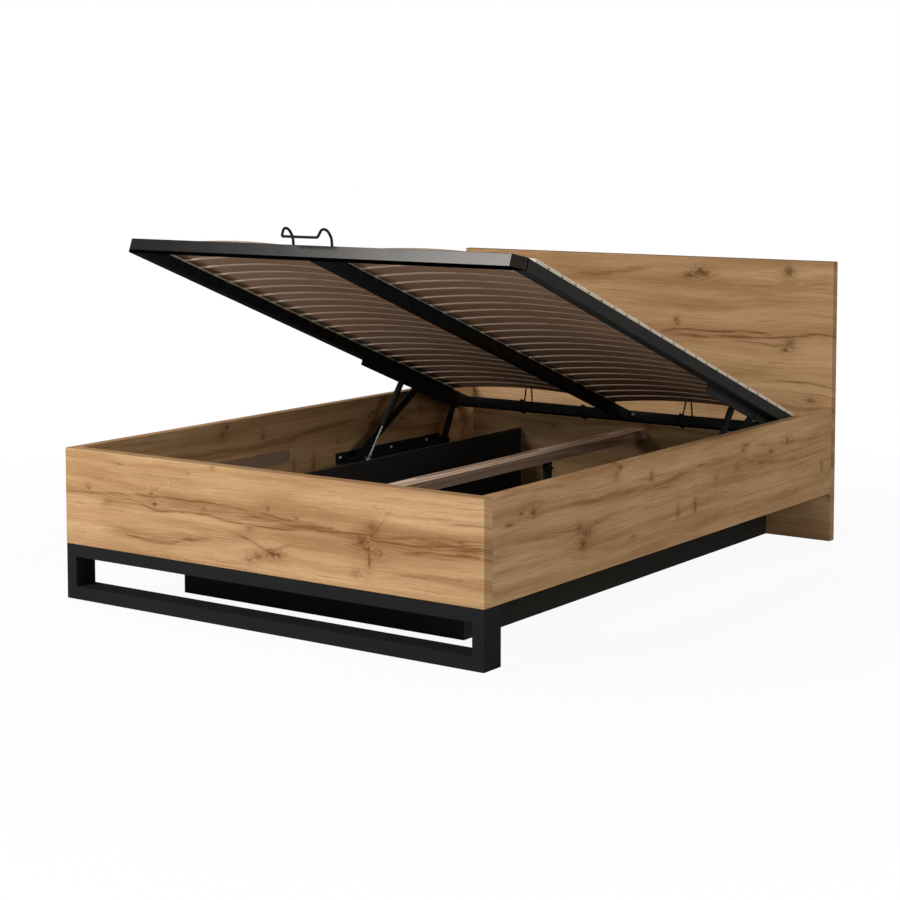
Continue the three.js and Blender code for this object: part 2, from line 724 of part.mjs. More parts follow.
function addMechanism(side, word) {
  const earOuter = channelReach - plateThickness;
  addPart(`${word}_base_channel`, baseChannel(side), 'blackMetal');
  addPart(`${word}_front_link`, linkPlate(side, frontLinkLow, frontLinkHigh, frontLinkHalfWidth), 'blackMetal');
  addPart(`${word}_rear_link`, linkPlate(side, rearLinkLow, rearLinkHigh, rearLinkHalfWidth), 'blackMetal');
  addPart(`${word}_upper_bracket`, upperBracket(side), 'blackMetal');
  addPart(`${word}_front_low_pin`, flangedPin(side, frontLinkLow, earOuter), 'steel');
  addPart(`${word}_rear_low_pin`, flangedPin(side, rearLinkLow, earOuter), 'steel');
  addPart(`${word}_front_high_pin`, flangedPin(side, frontLinkHigh, bracketPlane), 'steel');
  addPart(`${word}_rear_high_pin`, ridingPin(side, rearLinkHigh), 'steel');
  addStrut(side, word);
}

addPanels();
addFrontFrame();
addStorageBox();
addSupports();
addCentreLeg();
addRails();
addHolders();
addSlats();
addClamps();
addJointBolt();
addRetainer();
addMechanism(-1, 'left');
addMechanism(1, 'right');

export default group;
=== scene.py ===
"""Looks of an ottoman bed whose slatted platform is raised on two side mechanisms."""

import math

import bmesh
import bpy
from mathutils import Matrix, Vector


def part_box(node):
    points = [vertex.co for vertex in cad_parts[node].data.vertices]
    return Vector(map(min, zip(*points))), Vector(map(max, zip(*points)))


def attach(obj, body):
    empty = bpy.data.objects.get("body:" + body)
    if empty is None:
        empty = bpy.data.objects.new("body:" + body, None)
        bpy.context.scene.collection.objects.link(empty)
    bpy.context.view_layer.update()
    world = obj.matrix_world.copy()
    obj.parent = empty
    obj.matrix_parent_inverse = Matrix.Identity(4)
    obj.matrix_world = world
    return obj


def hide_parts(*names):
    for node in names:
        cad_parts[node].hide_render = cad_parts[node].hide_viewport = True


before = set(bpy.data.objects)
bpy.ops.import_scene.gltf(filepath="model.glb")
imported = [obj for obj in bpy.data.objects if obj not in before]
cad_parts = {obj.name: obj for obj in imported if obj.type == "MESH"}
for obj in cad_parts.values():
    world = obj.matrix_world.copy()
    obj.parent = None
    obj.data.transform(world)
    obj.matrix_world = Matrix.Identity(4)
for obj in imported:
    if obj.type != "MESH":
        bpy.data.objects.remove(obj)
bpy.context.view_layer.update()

SIDES = {"left": -1, "right": 1}

# The platform's own coordinates: u runs from its head end to its foot end, n stands on its top plane.
PLATFORM_ANGLE = math.radians(20.55)
PLATFORM_HEAD = Vector((0, 0.9562, 0.383))
RAISED = Matrix.Translation(PLATFORM_HEAD) @ Matrix.Rotation(-PLATFORM_ANGLE, 4, "X")
TOWARDS_FOOT = Vector((0, -math.cos(PLATFORM_ANGLE), math.sin(PLATFORM_ANGLE)))
PLATFORM_NORMAL = Vector((0, math.sin(PLATFORM_ANGLE), math.cos(PLATFORM_ANGLE)))

FIRST_SLAT_U = 0.178
SLAT_PITCH = 0.0732
SLAT_COUNT = 23

WHITE = (1, 1, 1, 1)


def srgb(*levels):
    """Linear colour of an 8-bit screen colour."""
    shares = (level / 255 for level in levels)
    return tuple(v / 12.92 if v <= 0.04045 else ((v + 0.055) / 1.055) ** 2.4 for v in shares) + (1,)


def toned(colour, factor):
    """A colour made lighter or darker."""
    return tuple(c * factor for c in colour[:3]) + (1,)


class Nodes:
    """Adds nodes to a node tree and joins them."""

    def __init__(self, tree):
        self.tree = tree

    def add(self, kind, inputs=None, **settings):
        node = self.tree.nodes.new(kind)
        for key, value in settings.items():
            setattr(node, key, value)
        for key, value in (inputs or {}).items():
            self.feed(node.inputs[key], value)
        return node

    def feed(self, socket, value):
        if isinstance(value, bpy.types.NodeSocket):
            self.tree.links.new(value, socket)
        else:
            socket.default_value = value

    def math(self, operation, *values):
        return self.add("ShaderNodeMath", dict(enumerate(values)), operation=operation).outputs[0]

    def dot(self, a, b):
        return self.add("ShaderNodeVectorMath", {0: a, 1: b}, operation="DOT_PRODUCT").outputs["Value"]

    def split(self, vector):
        return self.add("ShaderNodeSeparateXYZ", {0: vector}).outputs

    def join(self, x, y, z):
        return self.add("ShaderNodeCombineXYZ", {0: x, 1: y, 2: z}).outputs[0]

    def stretch(self, vector, scale, offset=(0, 0, 0)):
        inputs = {"Vector": vector, "Scale": scale, "Location": offset}
        return self.add("ShaderNodeMapping", inputs).outputs[0]

    def noise(self, vector, scale=1.0, detail=2.0, roughness=0.5, distortion=0.0):
        inputs = {
            "Vector": vector, "Scale": scale, "Detail": detail,
            "Roughness": roughness, "Distortion": distortion,
        }
        return self.add("ShaderNodeTexNoise", inputs).outputs["Fac"]

    def span(self, value, low, high, to_low=0.0, to_high=1.0):
        """A value between low and high becomes one between to_low and to_high, and stops there."""
        return self.add("ShaderNodeMapRange", dict(enumerate((value, low, high, to_low, to_high)))).outputs[0]

    def ramp(self, factor, stops):
        node = self.add("ShaderNodeValToRGB", {0: factor})
        elements = node.color_ramp.elements
        while len(elements) < len(stops):
            elements.new(0.5)
        for element, (position, colour) in zip(elements, stops):
            element.position = position
            element.color = colour
        return node.outputs[0]

    def mix(self, factor, a, b):
        """Colour a, with colour b over it by a factor."""
        node = self.add("ShaderNodeMix", data_type="RGBA")
        for index, value in ((0, factor), (6, a), (7, b)):
            self.feed(node.inputs[index], value)
        return node.outputs[2]

    def seen(self):
        """One for rays from the camera, from a gloss or through glass, and zero for the rest."""
        rays = self.add("ShaderNodeLightPath").outputs
        seen = self.math("MAXIMUM", rays["Is Camera Ray"], rays["Is Glossy Ray"])
        return self.math("MAXIMUM", seen, rays["Is Transmission Ray"])


class Shader(Nodes):
    """The nodes of one new material."""

    def __init__(self, name, roughness=0.5, metallic=0.0, specular=0.5):
        self.material = bpy.data.materials.new(name)
        self.material.use_nodes = True
        super().__init__(self.material.node_tree)
        self.surface = self.tree.nodes["Principled BSDF"]
        self.surface.inputs["Roughness"].default_value = roughness
        self.surface.inputs["Metallic"].default_value = metallic
        self.surface.inputs["Specular IOR Level"].default_value = specular
        coordinates = self.add("ShaderNodeTexCoord").outputs
        self.place = coordinates["Object"]
        self.normal = coordinates["Normal"]

    def colour(self, value):
        self.feed(self.surface.inputs["Base Color"], value)

    def roughness(self, value):
        self.feed(self.surface.inputs["Roughness"], value)

    def bump(self, height, distance, strength):
        inputs = {"Height": height, "Distance": distance, "Strength": strength}
        self.feed(self.surface.inputs["Normal"], self.add("ShaderNodeBump", inputs).outputs[0])


# Marks of the wood print as drawn, in metres along and across the grain.
# A line holds its half width, its strength and its points. A knot holds its place, half sizes and strength.
FOOTBOARD_LINES = (
    (0.0022, 0.75, ((-0.734, 0.319), (-0.644, 0.322), (-0.524, 0.331), (-0.33, 0.337), (-0.143, 0.339),
        (0.107, 0.322), (0.245, 0.316))),
    (0.0024, 0.80, ((-0.418, 0.304), (-0.368, 0.296), (-0.292, 0.305), (-0.217, 0.306), (-0.143, 0.300),
        (-0.034, 0.293), (0.142, 0.302))),
    (0.0026, 1.00, ((-0.034, 0.323), (0.107, 0.308), (0.245, 0.308), (0.345, 0.310), (0.395, 0.303),
        (0.46, 0.300))),
    (0.0026, 0.50, ((0.46, 0.315), (0.54, 0.322), (0.635, 0.330), (0.74, 0.329))),
    (0.0028, 0.90, ((0.508, 0.279), (0.556, 0.285), (0.604, 0.288), (0.712, 0.293))),
    (0.0022, 0.40, ((0.427, 0.275), (0.508, 0.276), (0.57, 0.276), (0.66, 0.278))),
    (0.0024, 0.50, ((0.476, 0.296), (0.572, 0.303), (0.65, 0.310), (0.728, 0.315))),
    (0.0030, 0.75, ((-0.51, 0.217), (-0.446, 0.212), (-0.407, 0.207), (-0.338, 0.209), (-0.273, 0.224),
        (-0.217, 0.234))),
    (0.0030, 0.40, ((0.444, 0.209), (0.54, 0.224), (0.635, 0.228), (0.734, 0.235))),
    (0.0040, 0.30, ((0.107, 0.367), (0.245, 0.366), (0.378, 0.372), (0.54, 0.376), (0.728, 0.376))),
    (0.0050, 0.22, ((-0.725, 0.376), (-0.604, 0.381), (-0.407, 0.386), (-0.143, 0.394))),
    (0.0150, 0.60, ((-0.60, 0.308), (-0.40, 0.315), (-0.20, 0.322), (0.0, 0.312), (0.2, 0.308),
        (0.4, 0.312), (0.74, 0.312))),
    (0.0030, 0.70, ((-0.080, 0.264), (-0.040, 0.252), (0.005, 0.237), (0.040, 0.226))),
    (0.0030, 0.60, ((0.040, 0.226), (0.070, 0.241), (0.105, 0.254))),
    (0.0035, 0.70, ((0.330, 0.282), (0.355, 0.292), (0.385, 0.312), (0.410, 0.338))),
    (0.0110, 0.50, ((-0.56, 0.226), (-0.42, 0.222), (-0.30, 0.228), (-0.05, 0.252))),
    (0.0110, 0.35, ((0.30, 0.300), (0.46, 0.292), (0.60, 0.300), (0.74, 0.306))),
)
FOOTBOARD_KNOTS = (
    (0.040, 0.226, 0.016, 0.010, 1.0), (-0.006, 0.213, 0.014, 0.009, 0.8),
    (0.064, 0.222, 0.018, 0.008, 0.8), (-0.036, 0.195, 0.020, 0.010, 0.5),
    (0.385, 0.336, 0.020, 0.012, 0.7), (0.352, 0.293, 0.016, 0.012, 0.8),
    (0.368, 0.274, 0.016, 0.005, 0.8), (0.377, 0.245, 0.006, 0.018, 0.8),
    (0.409, 0.268, 0.012, 0.010, 0.6), (0.332, 0.206, 0.016, 0.012, 0.5),
    (-0.388, 0.316, 0.011, 0.007, 1.0), (-0.399, 0.345, 0.008, 0.006, 0.6),
    (-0.648, 0.337, 0.008, 0.006, 0.8), (-0.528, 0.417, 0.016, 0.004, 0.5),
    (-0.572, 0.301, 0.022, 0.008, 0.5), (0.030, 0.346, 0.007, 0.007, 0.6),
    (0.131, 0.330, 0.008, 0.005, 0.5), (-0.038, 0.282, 0.009, 0.007, 0.6),
    (0.248, 0.315, 0.007, 0.005, 0.6), (0.672, 0.324, 0.012, 0.006, 0.6),
    (-0.169, 0.438, 0.006, 0.005, 0.6), (-0.262, 0.416, 0.007, 0.004, 0.5),
    (-0.199, 0.319, 0.012, 0.006, 0.4),
)
SIDE_LINES = (
    (0.0040, 0.40, ((-0.784, 0.368), (-0.686, 0.369), (-0.532, 0.366), (-0.371, 0.362), (-0.202, 0.355),
        (-0.056, 0.364), (0.097, 0.378), (0.289, 0.375))),
    (0.0120, 0.40, ((-0.60, 0.366), (-0.371, 0.358), (-0.202, 0.352), (-0.056, 0.362), (0.097, 0.374),
        (0.289, 0.370), (0.60, 0.340))),
    (0.0040, 0.40, ((-0.88, 0.310), (-0.735, 0.300), (-0.635, 0.297), (-0.532, 0.292), (-0.479, 0.303),
        (-0.371, 0.312), (-0.202, 0.300))),
    (0.0100, 0.30, ((-0.99, 0.330), (-0.88, 0.322), (-0.735, 0.310), (-0.60, 0.305), (-0.45, 0.305))),
    (0.0040, 0.50, ((-0.974, 0.437), (-0.880, 0.439), (-0.784, 0.434), (-0.661, 0.427))),
    (0.0035, 0.55, ((0.388, 0.359), (0.56, 0.327), (0.776, 0.315), (0.997, 0.320))),
    (0.0035, 0.50, ((0.49, 0.392), (0.703, 0.373), (0.927, 0.365))),
    (0.0060, 0.35, ((-0.479, 0.223), (-0.26, 0.210), (-0.026, 0.204), (0.355, 0.200), (0.776, 0.205))),
    (0.0030, 0.30, ((-0.99, 0.245), (-0.70, 0.238), (-0.40, 0.246), (0.0, 0.236), (0.5, 0.246),
        (0.99, 0.240))),
)
SIDE_KNOTS = (
    (-0.932, 0.361, 0.020, 0.005, 1.0), (-0.818, 0.378, 0.016, 0.012, 0.8),
    (-0.876, 0.382, 0.010, 0.006, 0.7), (-0.371, 0.437, 0.010, 0.006, 1.0),
    (-0.393, 0.415, 0.014, 0.016, 0.5), (-0.197, 0.387, 0.008, 0.012, 0.8),
    (-0.548, 0.278, 0.022, 0.010, 0.7), (-0.568, 0.252, 0.020, 0.014, 0.8),
    (-0.589, 0.300, 0.012, 0.012, 0.5), (-0.038, 0.262, 0.008, 0.020, 0.6),
    (0.066, 0.261, 0.008, 0.022, 0.8), (0.395, 0.402, 0.016, 0.005, 0.7),
    (0.375, 0.389, 0.012, 0.006, 0.8), (0.567, 0.361, 0.014, 0.005, 0.9),
    (0.681, 0.382, 0.012, 0.010, 0.7), (0.942, 0.264, 0.012, 0.018, 0.6),
    (-0.293, 0.229, 0.020, 0.005, 0.6), (0.335, 0.344, 0.022, 0.014, 0.4),
    (0.198, 0.326, 0.010, 0.012, 0.4),
)
HEADBOARD_LINES = (
    (0.0028, 1.00, ((0.089, 0.669), (0.168, 0.684), (0.247, 0.681), (0.325, 0.682), (0.402, 0.689),
        (0.496, 0.684))),
    (0.0028, 1.00, ((0.168, 0.663), (0.247, 0.664), (0.402, 0.669), (0.552, 0.674), (0.626, 0.682),
        (0.663, 0.690), (0.736, 0.691))),
    (0.0040, 0.60, ((0.363, 0.660), (0.477, 0.649), (0.571, 0.648))),
    (0.0050, 0.75, ((-0.240, 0.863), (-0.157, 0.863), (-0.074, 0.877), (0.028, 0.891))),
    (0.0028, 0.80, ((0.515, 0.523), (0.626, 0.527), (0.736, 0.518))),
    (0.0200, 0.35, ((0.008, 0.834), (0.247, 0.841), (0.477, 0.837), (0.736, 0.875))),
    (0.0040, 0.60, ((0.477, 0.442), (0.626, 0.439), (0.736, 0.444))),
    (0.0100, 0.40, ((-0.2, 0.655), (0.10, 0.668), (0.40, 0.672), (0.736, 0.690))),
    (0.0040, 0.60, ((-0.72, 0.700), (-0.45, 0.716), (-0.20, 0.690), (0.05, 0.660))),
    (0.0140, 0.35, ((-0.72, 0.560), (-0.40, 0.545), (-0.10, 0.560), (0.20, 0.540), (0.50, 0.550))),
    (0.0035, 0.60, ((-0.70, 0.330), (-0.35, 0.312), (0.0, 0.335), (0.35, 0.320), (0.72, 0.330))),
    (0.0140, 0.30, ((-0.72, 0.160), (-0.30, 0.175), (0.10, 0.150), (0.72, 0.165))),
)
HEADBOARD_KNOTS = (
    (0.239, 0.888, 0.022, 0.012, 1.0), (0.200, 0.872, 0.024, 0.009, 0.9),
    (0.265, 0.879, 0.016, 0.008, 0.9), (0.578, 0.900, 0.016, 0.020, 0.9),
    (0.150, 0.718, 0.008, 0.006, 0.9), (0.157, 0.702, 0.007, 0.008, 0.6),
    (0.586, 0.658, 0.022, 0.014, 0.8), (0.567, 0.633, 0.012, 0.006, 1.0),
    (0.663, 0.469, 0.018, 0.008, 0.8), (0.224, 0.662, 0.008, 0.006, 0.5),
    (-0.420, 0.760, 0.022, 0.012, 0.8), (-0.600, 0.620, 0.014, 0.009, 0.7),
    (-0.150, 0.560, 0.018, 0.010, 0.6), (0.050, 0.330, 0.018, 0.010, 0.6),
    (-0.350, 0.300, 0.016, 0.010, 0.6),
)

OAK_PALE = srgb(207, 169, 126)
OAK_BASE = srgb(188, 150, 108)
OAK_MID = srgb(163, 124, 85)
OAK_STREAK = srgb(124, 84, 50)
OAK_KNOT = srgb(96, 59, 33)
# The edge colour is partly the edge band's own colour and partly painted shade on the boards' ends and tops.
OAK_EDGE_BAND_AND_SHADE = srgb(100, 74, 50)

# The print's drawn lines span this far each way along the grain, and fade in and out at their ends.
PRINT_HALF_LENGTH = 1.05
LINE_SHARPNESS = 0.62
LINE_FADE_OUTSIDE = 0.05
LINE_FADE_INSIDE = 0.03
LINE_FALL = math.exp(-1)

# A knot's core and halo fall off with the square of the distance. A strong knot pushes the fibres aside.
CORE_FALL = math.exp(-1.2)
HALO_FALL = math.exp(-0.16)
STRONG_KNOT = 0.6
FIBRE_PUSH = -0.75

# The print slants this much from face to face, so that the grain runs on over a board's edges.
PRINT_SLANT = 0.3

# Metres by which noise moves the fibres up and down, in long waves and in short ones, and the drawn lines
FIBRE_WAVE = 0.07
FIBRE_RIPPLE = 0.006
LINE_RIPPLE = 0.011

# Share of the bands in the ground tone, gain of the drawn lines, and the most that lines and cores may cover
BAND_SHARE = 0.68
LINE_GAIN = 1.05
LINE_MOST = 0.92
CORE_MOST = 0.80

# A face counts as turned to a direction from the first of these cosines, and fully so from the second.
FACING = (0.6, 0.9)


def knot_fields(s, along, level, table):
    """Cores and haloes of the knots of a table, and the height that makes the fibres part round them."""
    core, halo, flow = 0.0, 0.0, level
    for a, b, half_length, half_width, strength in table:
        across = s.math("MULTIPLY_ADD", level, 1 / half_width, -b / half_width)
        way = s.math("MULTIPLY_ADD", along, 1 / half_length, -a / half_length)
        square = s.math("MULTIPLY_ADD", across, across, s.math("MULTIPLY", way, way))
        core = s.math("MULTIPLY_ADD", s.math("POWER", CORE_FALL, square), strength, core)
        near = s.math("POWER", HALO_FALL, square)
        halo = s.math("MULTIPLY_ADD", near, strength, halo)
        if strength >= STRONG_KNOT:
            push = s.math("MULTIPLY", across, near)
            flow = s.math("MULTIPLY_ADD", push, FIBRE_PUSH * strength * half_width, flow)
    return core, halo, flow


def drawn_lines(s, along, level, table):
    """Sum of soft lines that follow the points of a table."""
    position = s.span(along, -PRINT_HALF_LENGTH, PRINT_HALF_LENGTH)
    total = 0.0
    for half_width, strength, points in table:
        node = s.add("ShaderNodeFloatCurve", {"Value": position})
        curve = node.mapping.curves[0]
        while len(curve.points) < len(points):
            curve.points.new(0.5, 0.5)
        for point, (x, z) in zip(curve.points, points):
            point.location = ((x + PRINT_HALF_LENGTH) / (2 * PRINT_HALF_LENGTH), z)
        node.mapping.update()
        away = s.math("MULTIPLY", s.math("SUBTRACT", level, node.outputs[0]), LINE_SHARPNESS / half_width)
        line = s.math("POWER", LINE_FALL, s.math("MULTIPLY", away, away))
        start, end = points[0][0], points[-1][0]
        line = s.math("MULTIPLY", line, s.span(along, start - LINE_FADE_OUTSIDE, start + LINE_FADE_INSIDE))
        fade = s.span(along, end - LINE_FADE_INSIDE, end + LINE_FADE_OUTSIDE, strength, 0)
        total = s.math("ADD", total, s.math("MULTIPLY", line, fade))
    return total


def oak(name, grain, outer_face, lines, knots, seed, painted_shade, top_share, end_share):
    """Oak print on a board: its fibres run along X or Y and part round the knots.

    The print's heights are true at the outer face. The shade factor darkens the whole print as painted shade.
    The shares are those of the dark edge colour, which is partly the edge band's own colour and partly painted
    shade.
    """
    s = Shader(name, specular=0.0)
    colours = (OAK_PALE, OAK_BASE, OAK_MID, OAK_STREAK, OAK_KNOT)
    # The shade factor darkens every colour of the print as painted shade.
    pale, base, mid, streak, dark = (toned(colour, painted_shade) for colour in colours)
    x, y, z = s.split(s.place)
    along, thick = (x, y) if grain == "x" else (y, x)
    level = s.math("ADD", z, s.math("MULTIPLY", s.math("SUBTRACT", thick, outer_face), PRINT_SLANT))
    board = s.join(along, level, seed)
    core, halo, flow = knot_fields(s, along, level, knots)

    wobble = s.math("SUBTRACT", s.noise(s.stretch(board, (1.5, 5.0, 1)), detail=3), 0.5)
    ripple = s.math("SUBTRACT", s.noise(s.stretch(board, (13, 30, 1)), detail=3), 0.5)
    flow = s.math("MULTIPLY_ADD", wobble, FIBRE_WAVE, flow)
    flow = s.math("MULTIPLY_ADD", ripple, FIBRE_RIPPLE, flow)
    streaming = s.join(along, flow, seed)

    # Ground tone, fibres and pores
    fibre = s.noise(s.stretch(streaming, (9, 330, 1)), detail=4, roughness=0.65)
    strands = s.noise(s.stretch(streaming, (3.2, 110, 1)), detail=4, roughness=0.65)
    bands = s.noise(s.stretch(streaming, (0.9, 24, 2)), detail=3, roughness=0.55)
    patches = s.noise(s.stretch(board, (2.2, 7.0, 3)), detail=3, roughness=0.55)
    pores = s.noise(s.stretch(board, (38, 520, 1)))

    tone = s.math("MULTIPLY_ADD", bands, BAND_SHARE, s.math("MULTIPLY", patches, 1 - BAND_SHARE))
    colour = s.ramp(tone, [(0.38, mid), (0.50, base), (0.66, pale)])
    colour = s.mix(s.span(strands, 0.50, 0.68, 0, 0.55), colour, mid)
    colour = s.mix(s.span(strands, 0.60, 0.72, 0, 0.40), colour, streak)
    colour = s.mix(s.span(fibre, 0.48, 0.70, 0, 0.55), colour, mid)
    colour = s.mix(s.span(fibre, 0.47, 0.30, 0, 0.50), colour, pale)
    colour = s.mix(s.span(pores, 0.60, 0.70, 0, 0.30), colour, streak)

    # Drawn lines, broken up along the fibres
    drawn = drawn_lines(s, along, s.math("MULTIPLY_ADD", ripple, LINE_RIPPLE, level), lines)
    broken = s.span(s.noise(s.stretch(streaming, (9, 230, 1)), detail=3), 0.34, 0.60, 0.20, 1.0)
    drawn = s.math("MULTIPLY", drawn, broken)
    colour = s.mix(s.math("MINIMUM", s.math("MULTIPLY", drawn, LINE_GAIN), LINE_MOST), colour, streak)

    # Knots: a crumbled halo with fine cracks, and a dark core
    crumbs = s.noise(s.stretch(board, (95, 150, 1)), detail=3, roughness=0.6, distortion=0.5)
    checks = s.noise(s.stretch(board, (210, 34, 1)), distortion=0.8)
    colour = s.mix(s.math("MULTIPLY", halo, s.span(crumbs, 0.38, 0.64, 0.16, 0.42)), colour, streak)
    colour = s.mix(s.math("MULTIPLY", halo, s.span(checks, 0.56, 0.66, 0, 0.40)), colour, streak)
    colour = s.mix(s.math("MULTIPLY", halo, s.span(crumbs, 0.42, 0.30, 0, 0.60)), colour, pale)
    core = s.math("MULTIPLY", core, s.span(crumbs, 0.34, 0.58, 0.45, 1.0))
    colour = s.mix(s.math("MINIMUM", core, CORE_MOST), colour, dark)

    # Zones of pale and dark flecks
    flecks = s.noise(s.stretch(board, (70, 190, 1)), distortion=0.5)
    fleck_zone = s.span(s.noise(s.stretch(board, (2.6, 9, 5))), 0.52, 0.66)
    colour = s.mix(s.math("MULTIPLY", fleck_zone, s.span(flecks, 0.60, 0.70, 0, 0.55)), colour, pale)
    colour = s.mix(s.math("MULTIPLY", fleck_zone, s.span(flecks, 0.36, 0.28, 0, 0.45)), colour, streak)

    # Darker ends and top faces: partly the edge band's own colour, partly painted shade, with shares set board
    # by board
    normal = s.split(s.normal)
    end = s.math("ABSOLUTE", normal[0] if grain == "x" else normal[1])
    colour = s.mix(s.span(end, *FACING, 0, end_share), colour, OAK_EDGE_BAND_AND_SHADE)
    colour = s.mix(s.span(normal[2], *FACING, 0, top_share), colour, OAK_EDGE_BAND_AND_SHADE)
    s.colour(colour)
    s.roughness(s.span(pores, 0.3, 0.7, 0.52, 0.64))
    s.bump(s.noise(s.stretch(board, (12, 420, 1)), detail=3, roughness=0.6), 0.0002, 0.5)
    return s.material


def powder_coat(name, colour, roughness, metallic=0.0, uneven=0.03):
    """Powder coat on steel: fine orange peel and slightly uneven gloss."""
    s = Shader(name, roughness, metallic, specular=0.0)
    s.surface.inputs["Specular Tint"].default_value = (0, 0, 0, 1)
    clouds = s.noise(s.place, scale=9, detail=3)
    peel = s.noise(s.place, scale=900)
    s.colour(s.mix(s.span(clouds, 0.35, 0.70), colour, toned(colour, 1.1)))
    s.roughness(s.span(clouds, 0.30, 0.70, roughness - uneven, roughness + uneven))
    s.bump(peel, 0.00012, 0.35)
    return s.material


def black_board():
    """Black melamine with a fine pressed grain along Y."""
    s = Shader("black_board", specular=0.0)
    grain = s.noise(s.stretch(s.place, (260, 12, 260)), detail=3, roughness=0.6)
    s.colour(s.ramp(grain, [(0.35, srgb(46, 45, 42)), (0.70, srgb(53, 51, 48))]))
    s.roughness(s.span(grain, 0.3, 0.7, 0.52, 0.66))
    s.bump(grain, 0.0002, 0.4)
    return s.material


# Offset of the trunk's heart from the bed's origin, its taper along Y, rings in a metre and their unevenness
PINE_HEART = (0.02, 0, -0.27)
PINE_TAPER = 0.05
PINE_RINGS = 80
PINE_WARP = 1.6
PINE_RING_COLOURS = [(0.10, srgb(228, 201, 178)), (0.60, srgb(188, 157, 133)), (0.90, srgb(140, 110, 90))]


def pine():
    """Sawn softwood whose grain runs along Y, with painted shade making its sides darker than its top."""
    s = Shader("pine", specular=0.25)
    x, y, z = s.split(s.place)
    cone = s.join(x, s.math("MULTIPLY", y, PINE_TAPER), z)
    from_heart = s.stretch(cone, (1, 1, 1), PINE_HEART)
    warp = s.noise(s.stretch(s.place, (14, 1.3, 14)), detail=3)
    radius = s.math("SQRT", s.dot(from_heart, from_heart))
    rings = s.math("FRACT", s.math("MULTIPLY_ADD", warp, PINE_WARP, s.math("MULTIPLY", radius, PINE_RINGS)))
    fibre = s.noise(s.stretch(s.place, (420, 9, 420)), detail=3, roughness=0.6)
    stain = s.noise(s.stretch(s.place, (6, 2.2, 6)), detail=3)
    colour = s.ramp(rings, PINE_RING_COLOURS)
    colour = s.mix(s.span(fibre, 0.45, 0.75, 0, 0.45), colour, srgb(156, 126, 104))
    colour = s.mix(s.span(stain, 0.50, 0.72, 0, 0.45), colour, srgb(128, 100, 84))
    # Painted shade: faces turned sideways get a darker colour, so the top reads lighter.
    sideways = s.math("ABSOLUTE", s.split(s.normal)[0])
    colour = s.mix(s.span(sideways, *FACING, 0, 0.8), colour, srgb(124, 99, 81))
    s.colour(colour)
    s.roughness(s.span(fibre, 0.3, 0.7, 0.62, 0.78))
    s.bump(fibre, 0.0004, 0.6)
    return s.material


SLAT_GRAIN_COLOURS = [(0.30, srgb(146, 117, 94)), (0.55, srgb(168, 137, 112)), (0.80, srgb(182, 152, 126))]
SLAT_TONES = [(0.0, srgb(152, 122, 99)), (1.0, srgb(176, 146, 121))]
SLAT_FLECK = srgb(92, 70, 58)
# The end colour is painted shade, where the holders shade a slat's ends.
SLAT_END_SHADE = srgb(52, 44, 36)
# The edge colour is partly the plies' own pale tone and partly painted highlight; the edge colour near the ends
# is painted highlight.
SLAT_EDGE_TONE_AND_HIGHLIGHT = srgb(152, 132, 116)
SLAT_EDGE_HIGHLIGHT_NEAR_END = srgb(200, 181, 161)
# The top colour is painted light: the slats' upper faces are painted paler than their undersides.
SLAT_TOP_PAINTED_LIGHT = srgb(206, 174, 140)

# Scales of the grain and the flecks along a slat, across it and from slat to slat
SLAT_GRAIN = (5, 240, 3.7)
SLAT_FLECKS = (60, 900, 1)

# Distances from the bed's middle plane between which painted shade darkens a slat's outer and inner ends, by
# the holders
SLAT_OUTER_SHADE_SPAN = (0.604, 0.636)
SLAT_INNER_SHADE_SPAN = (0.058, 0.034)


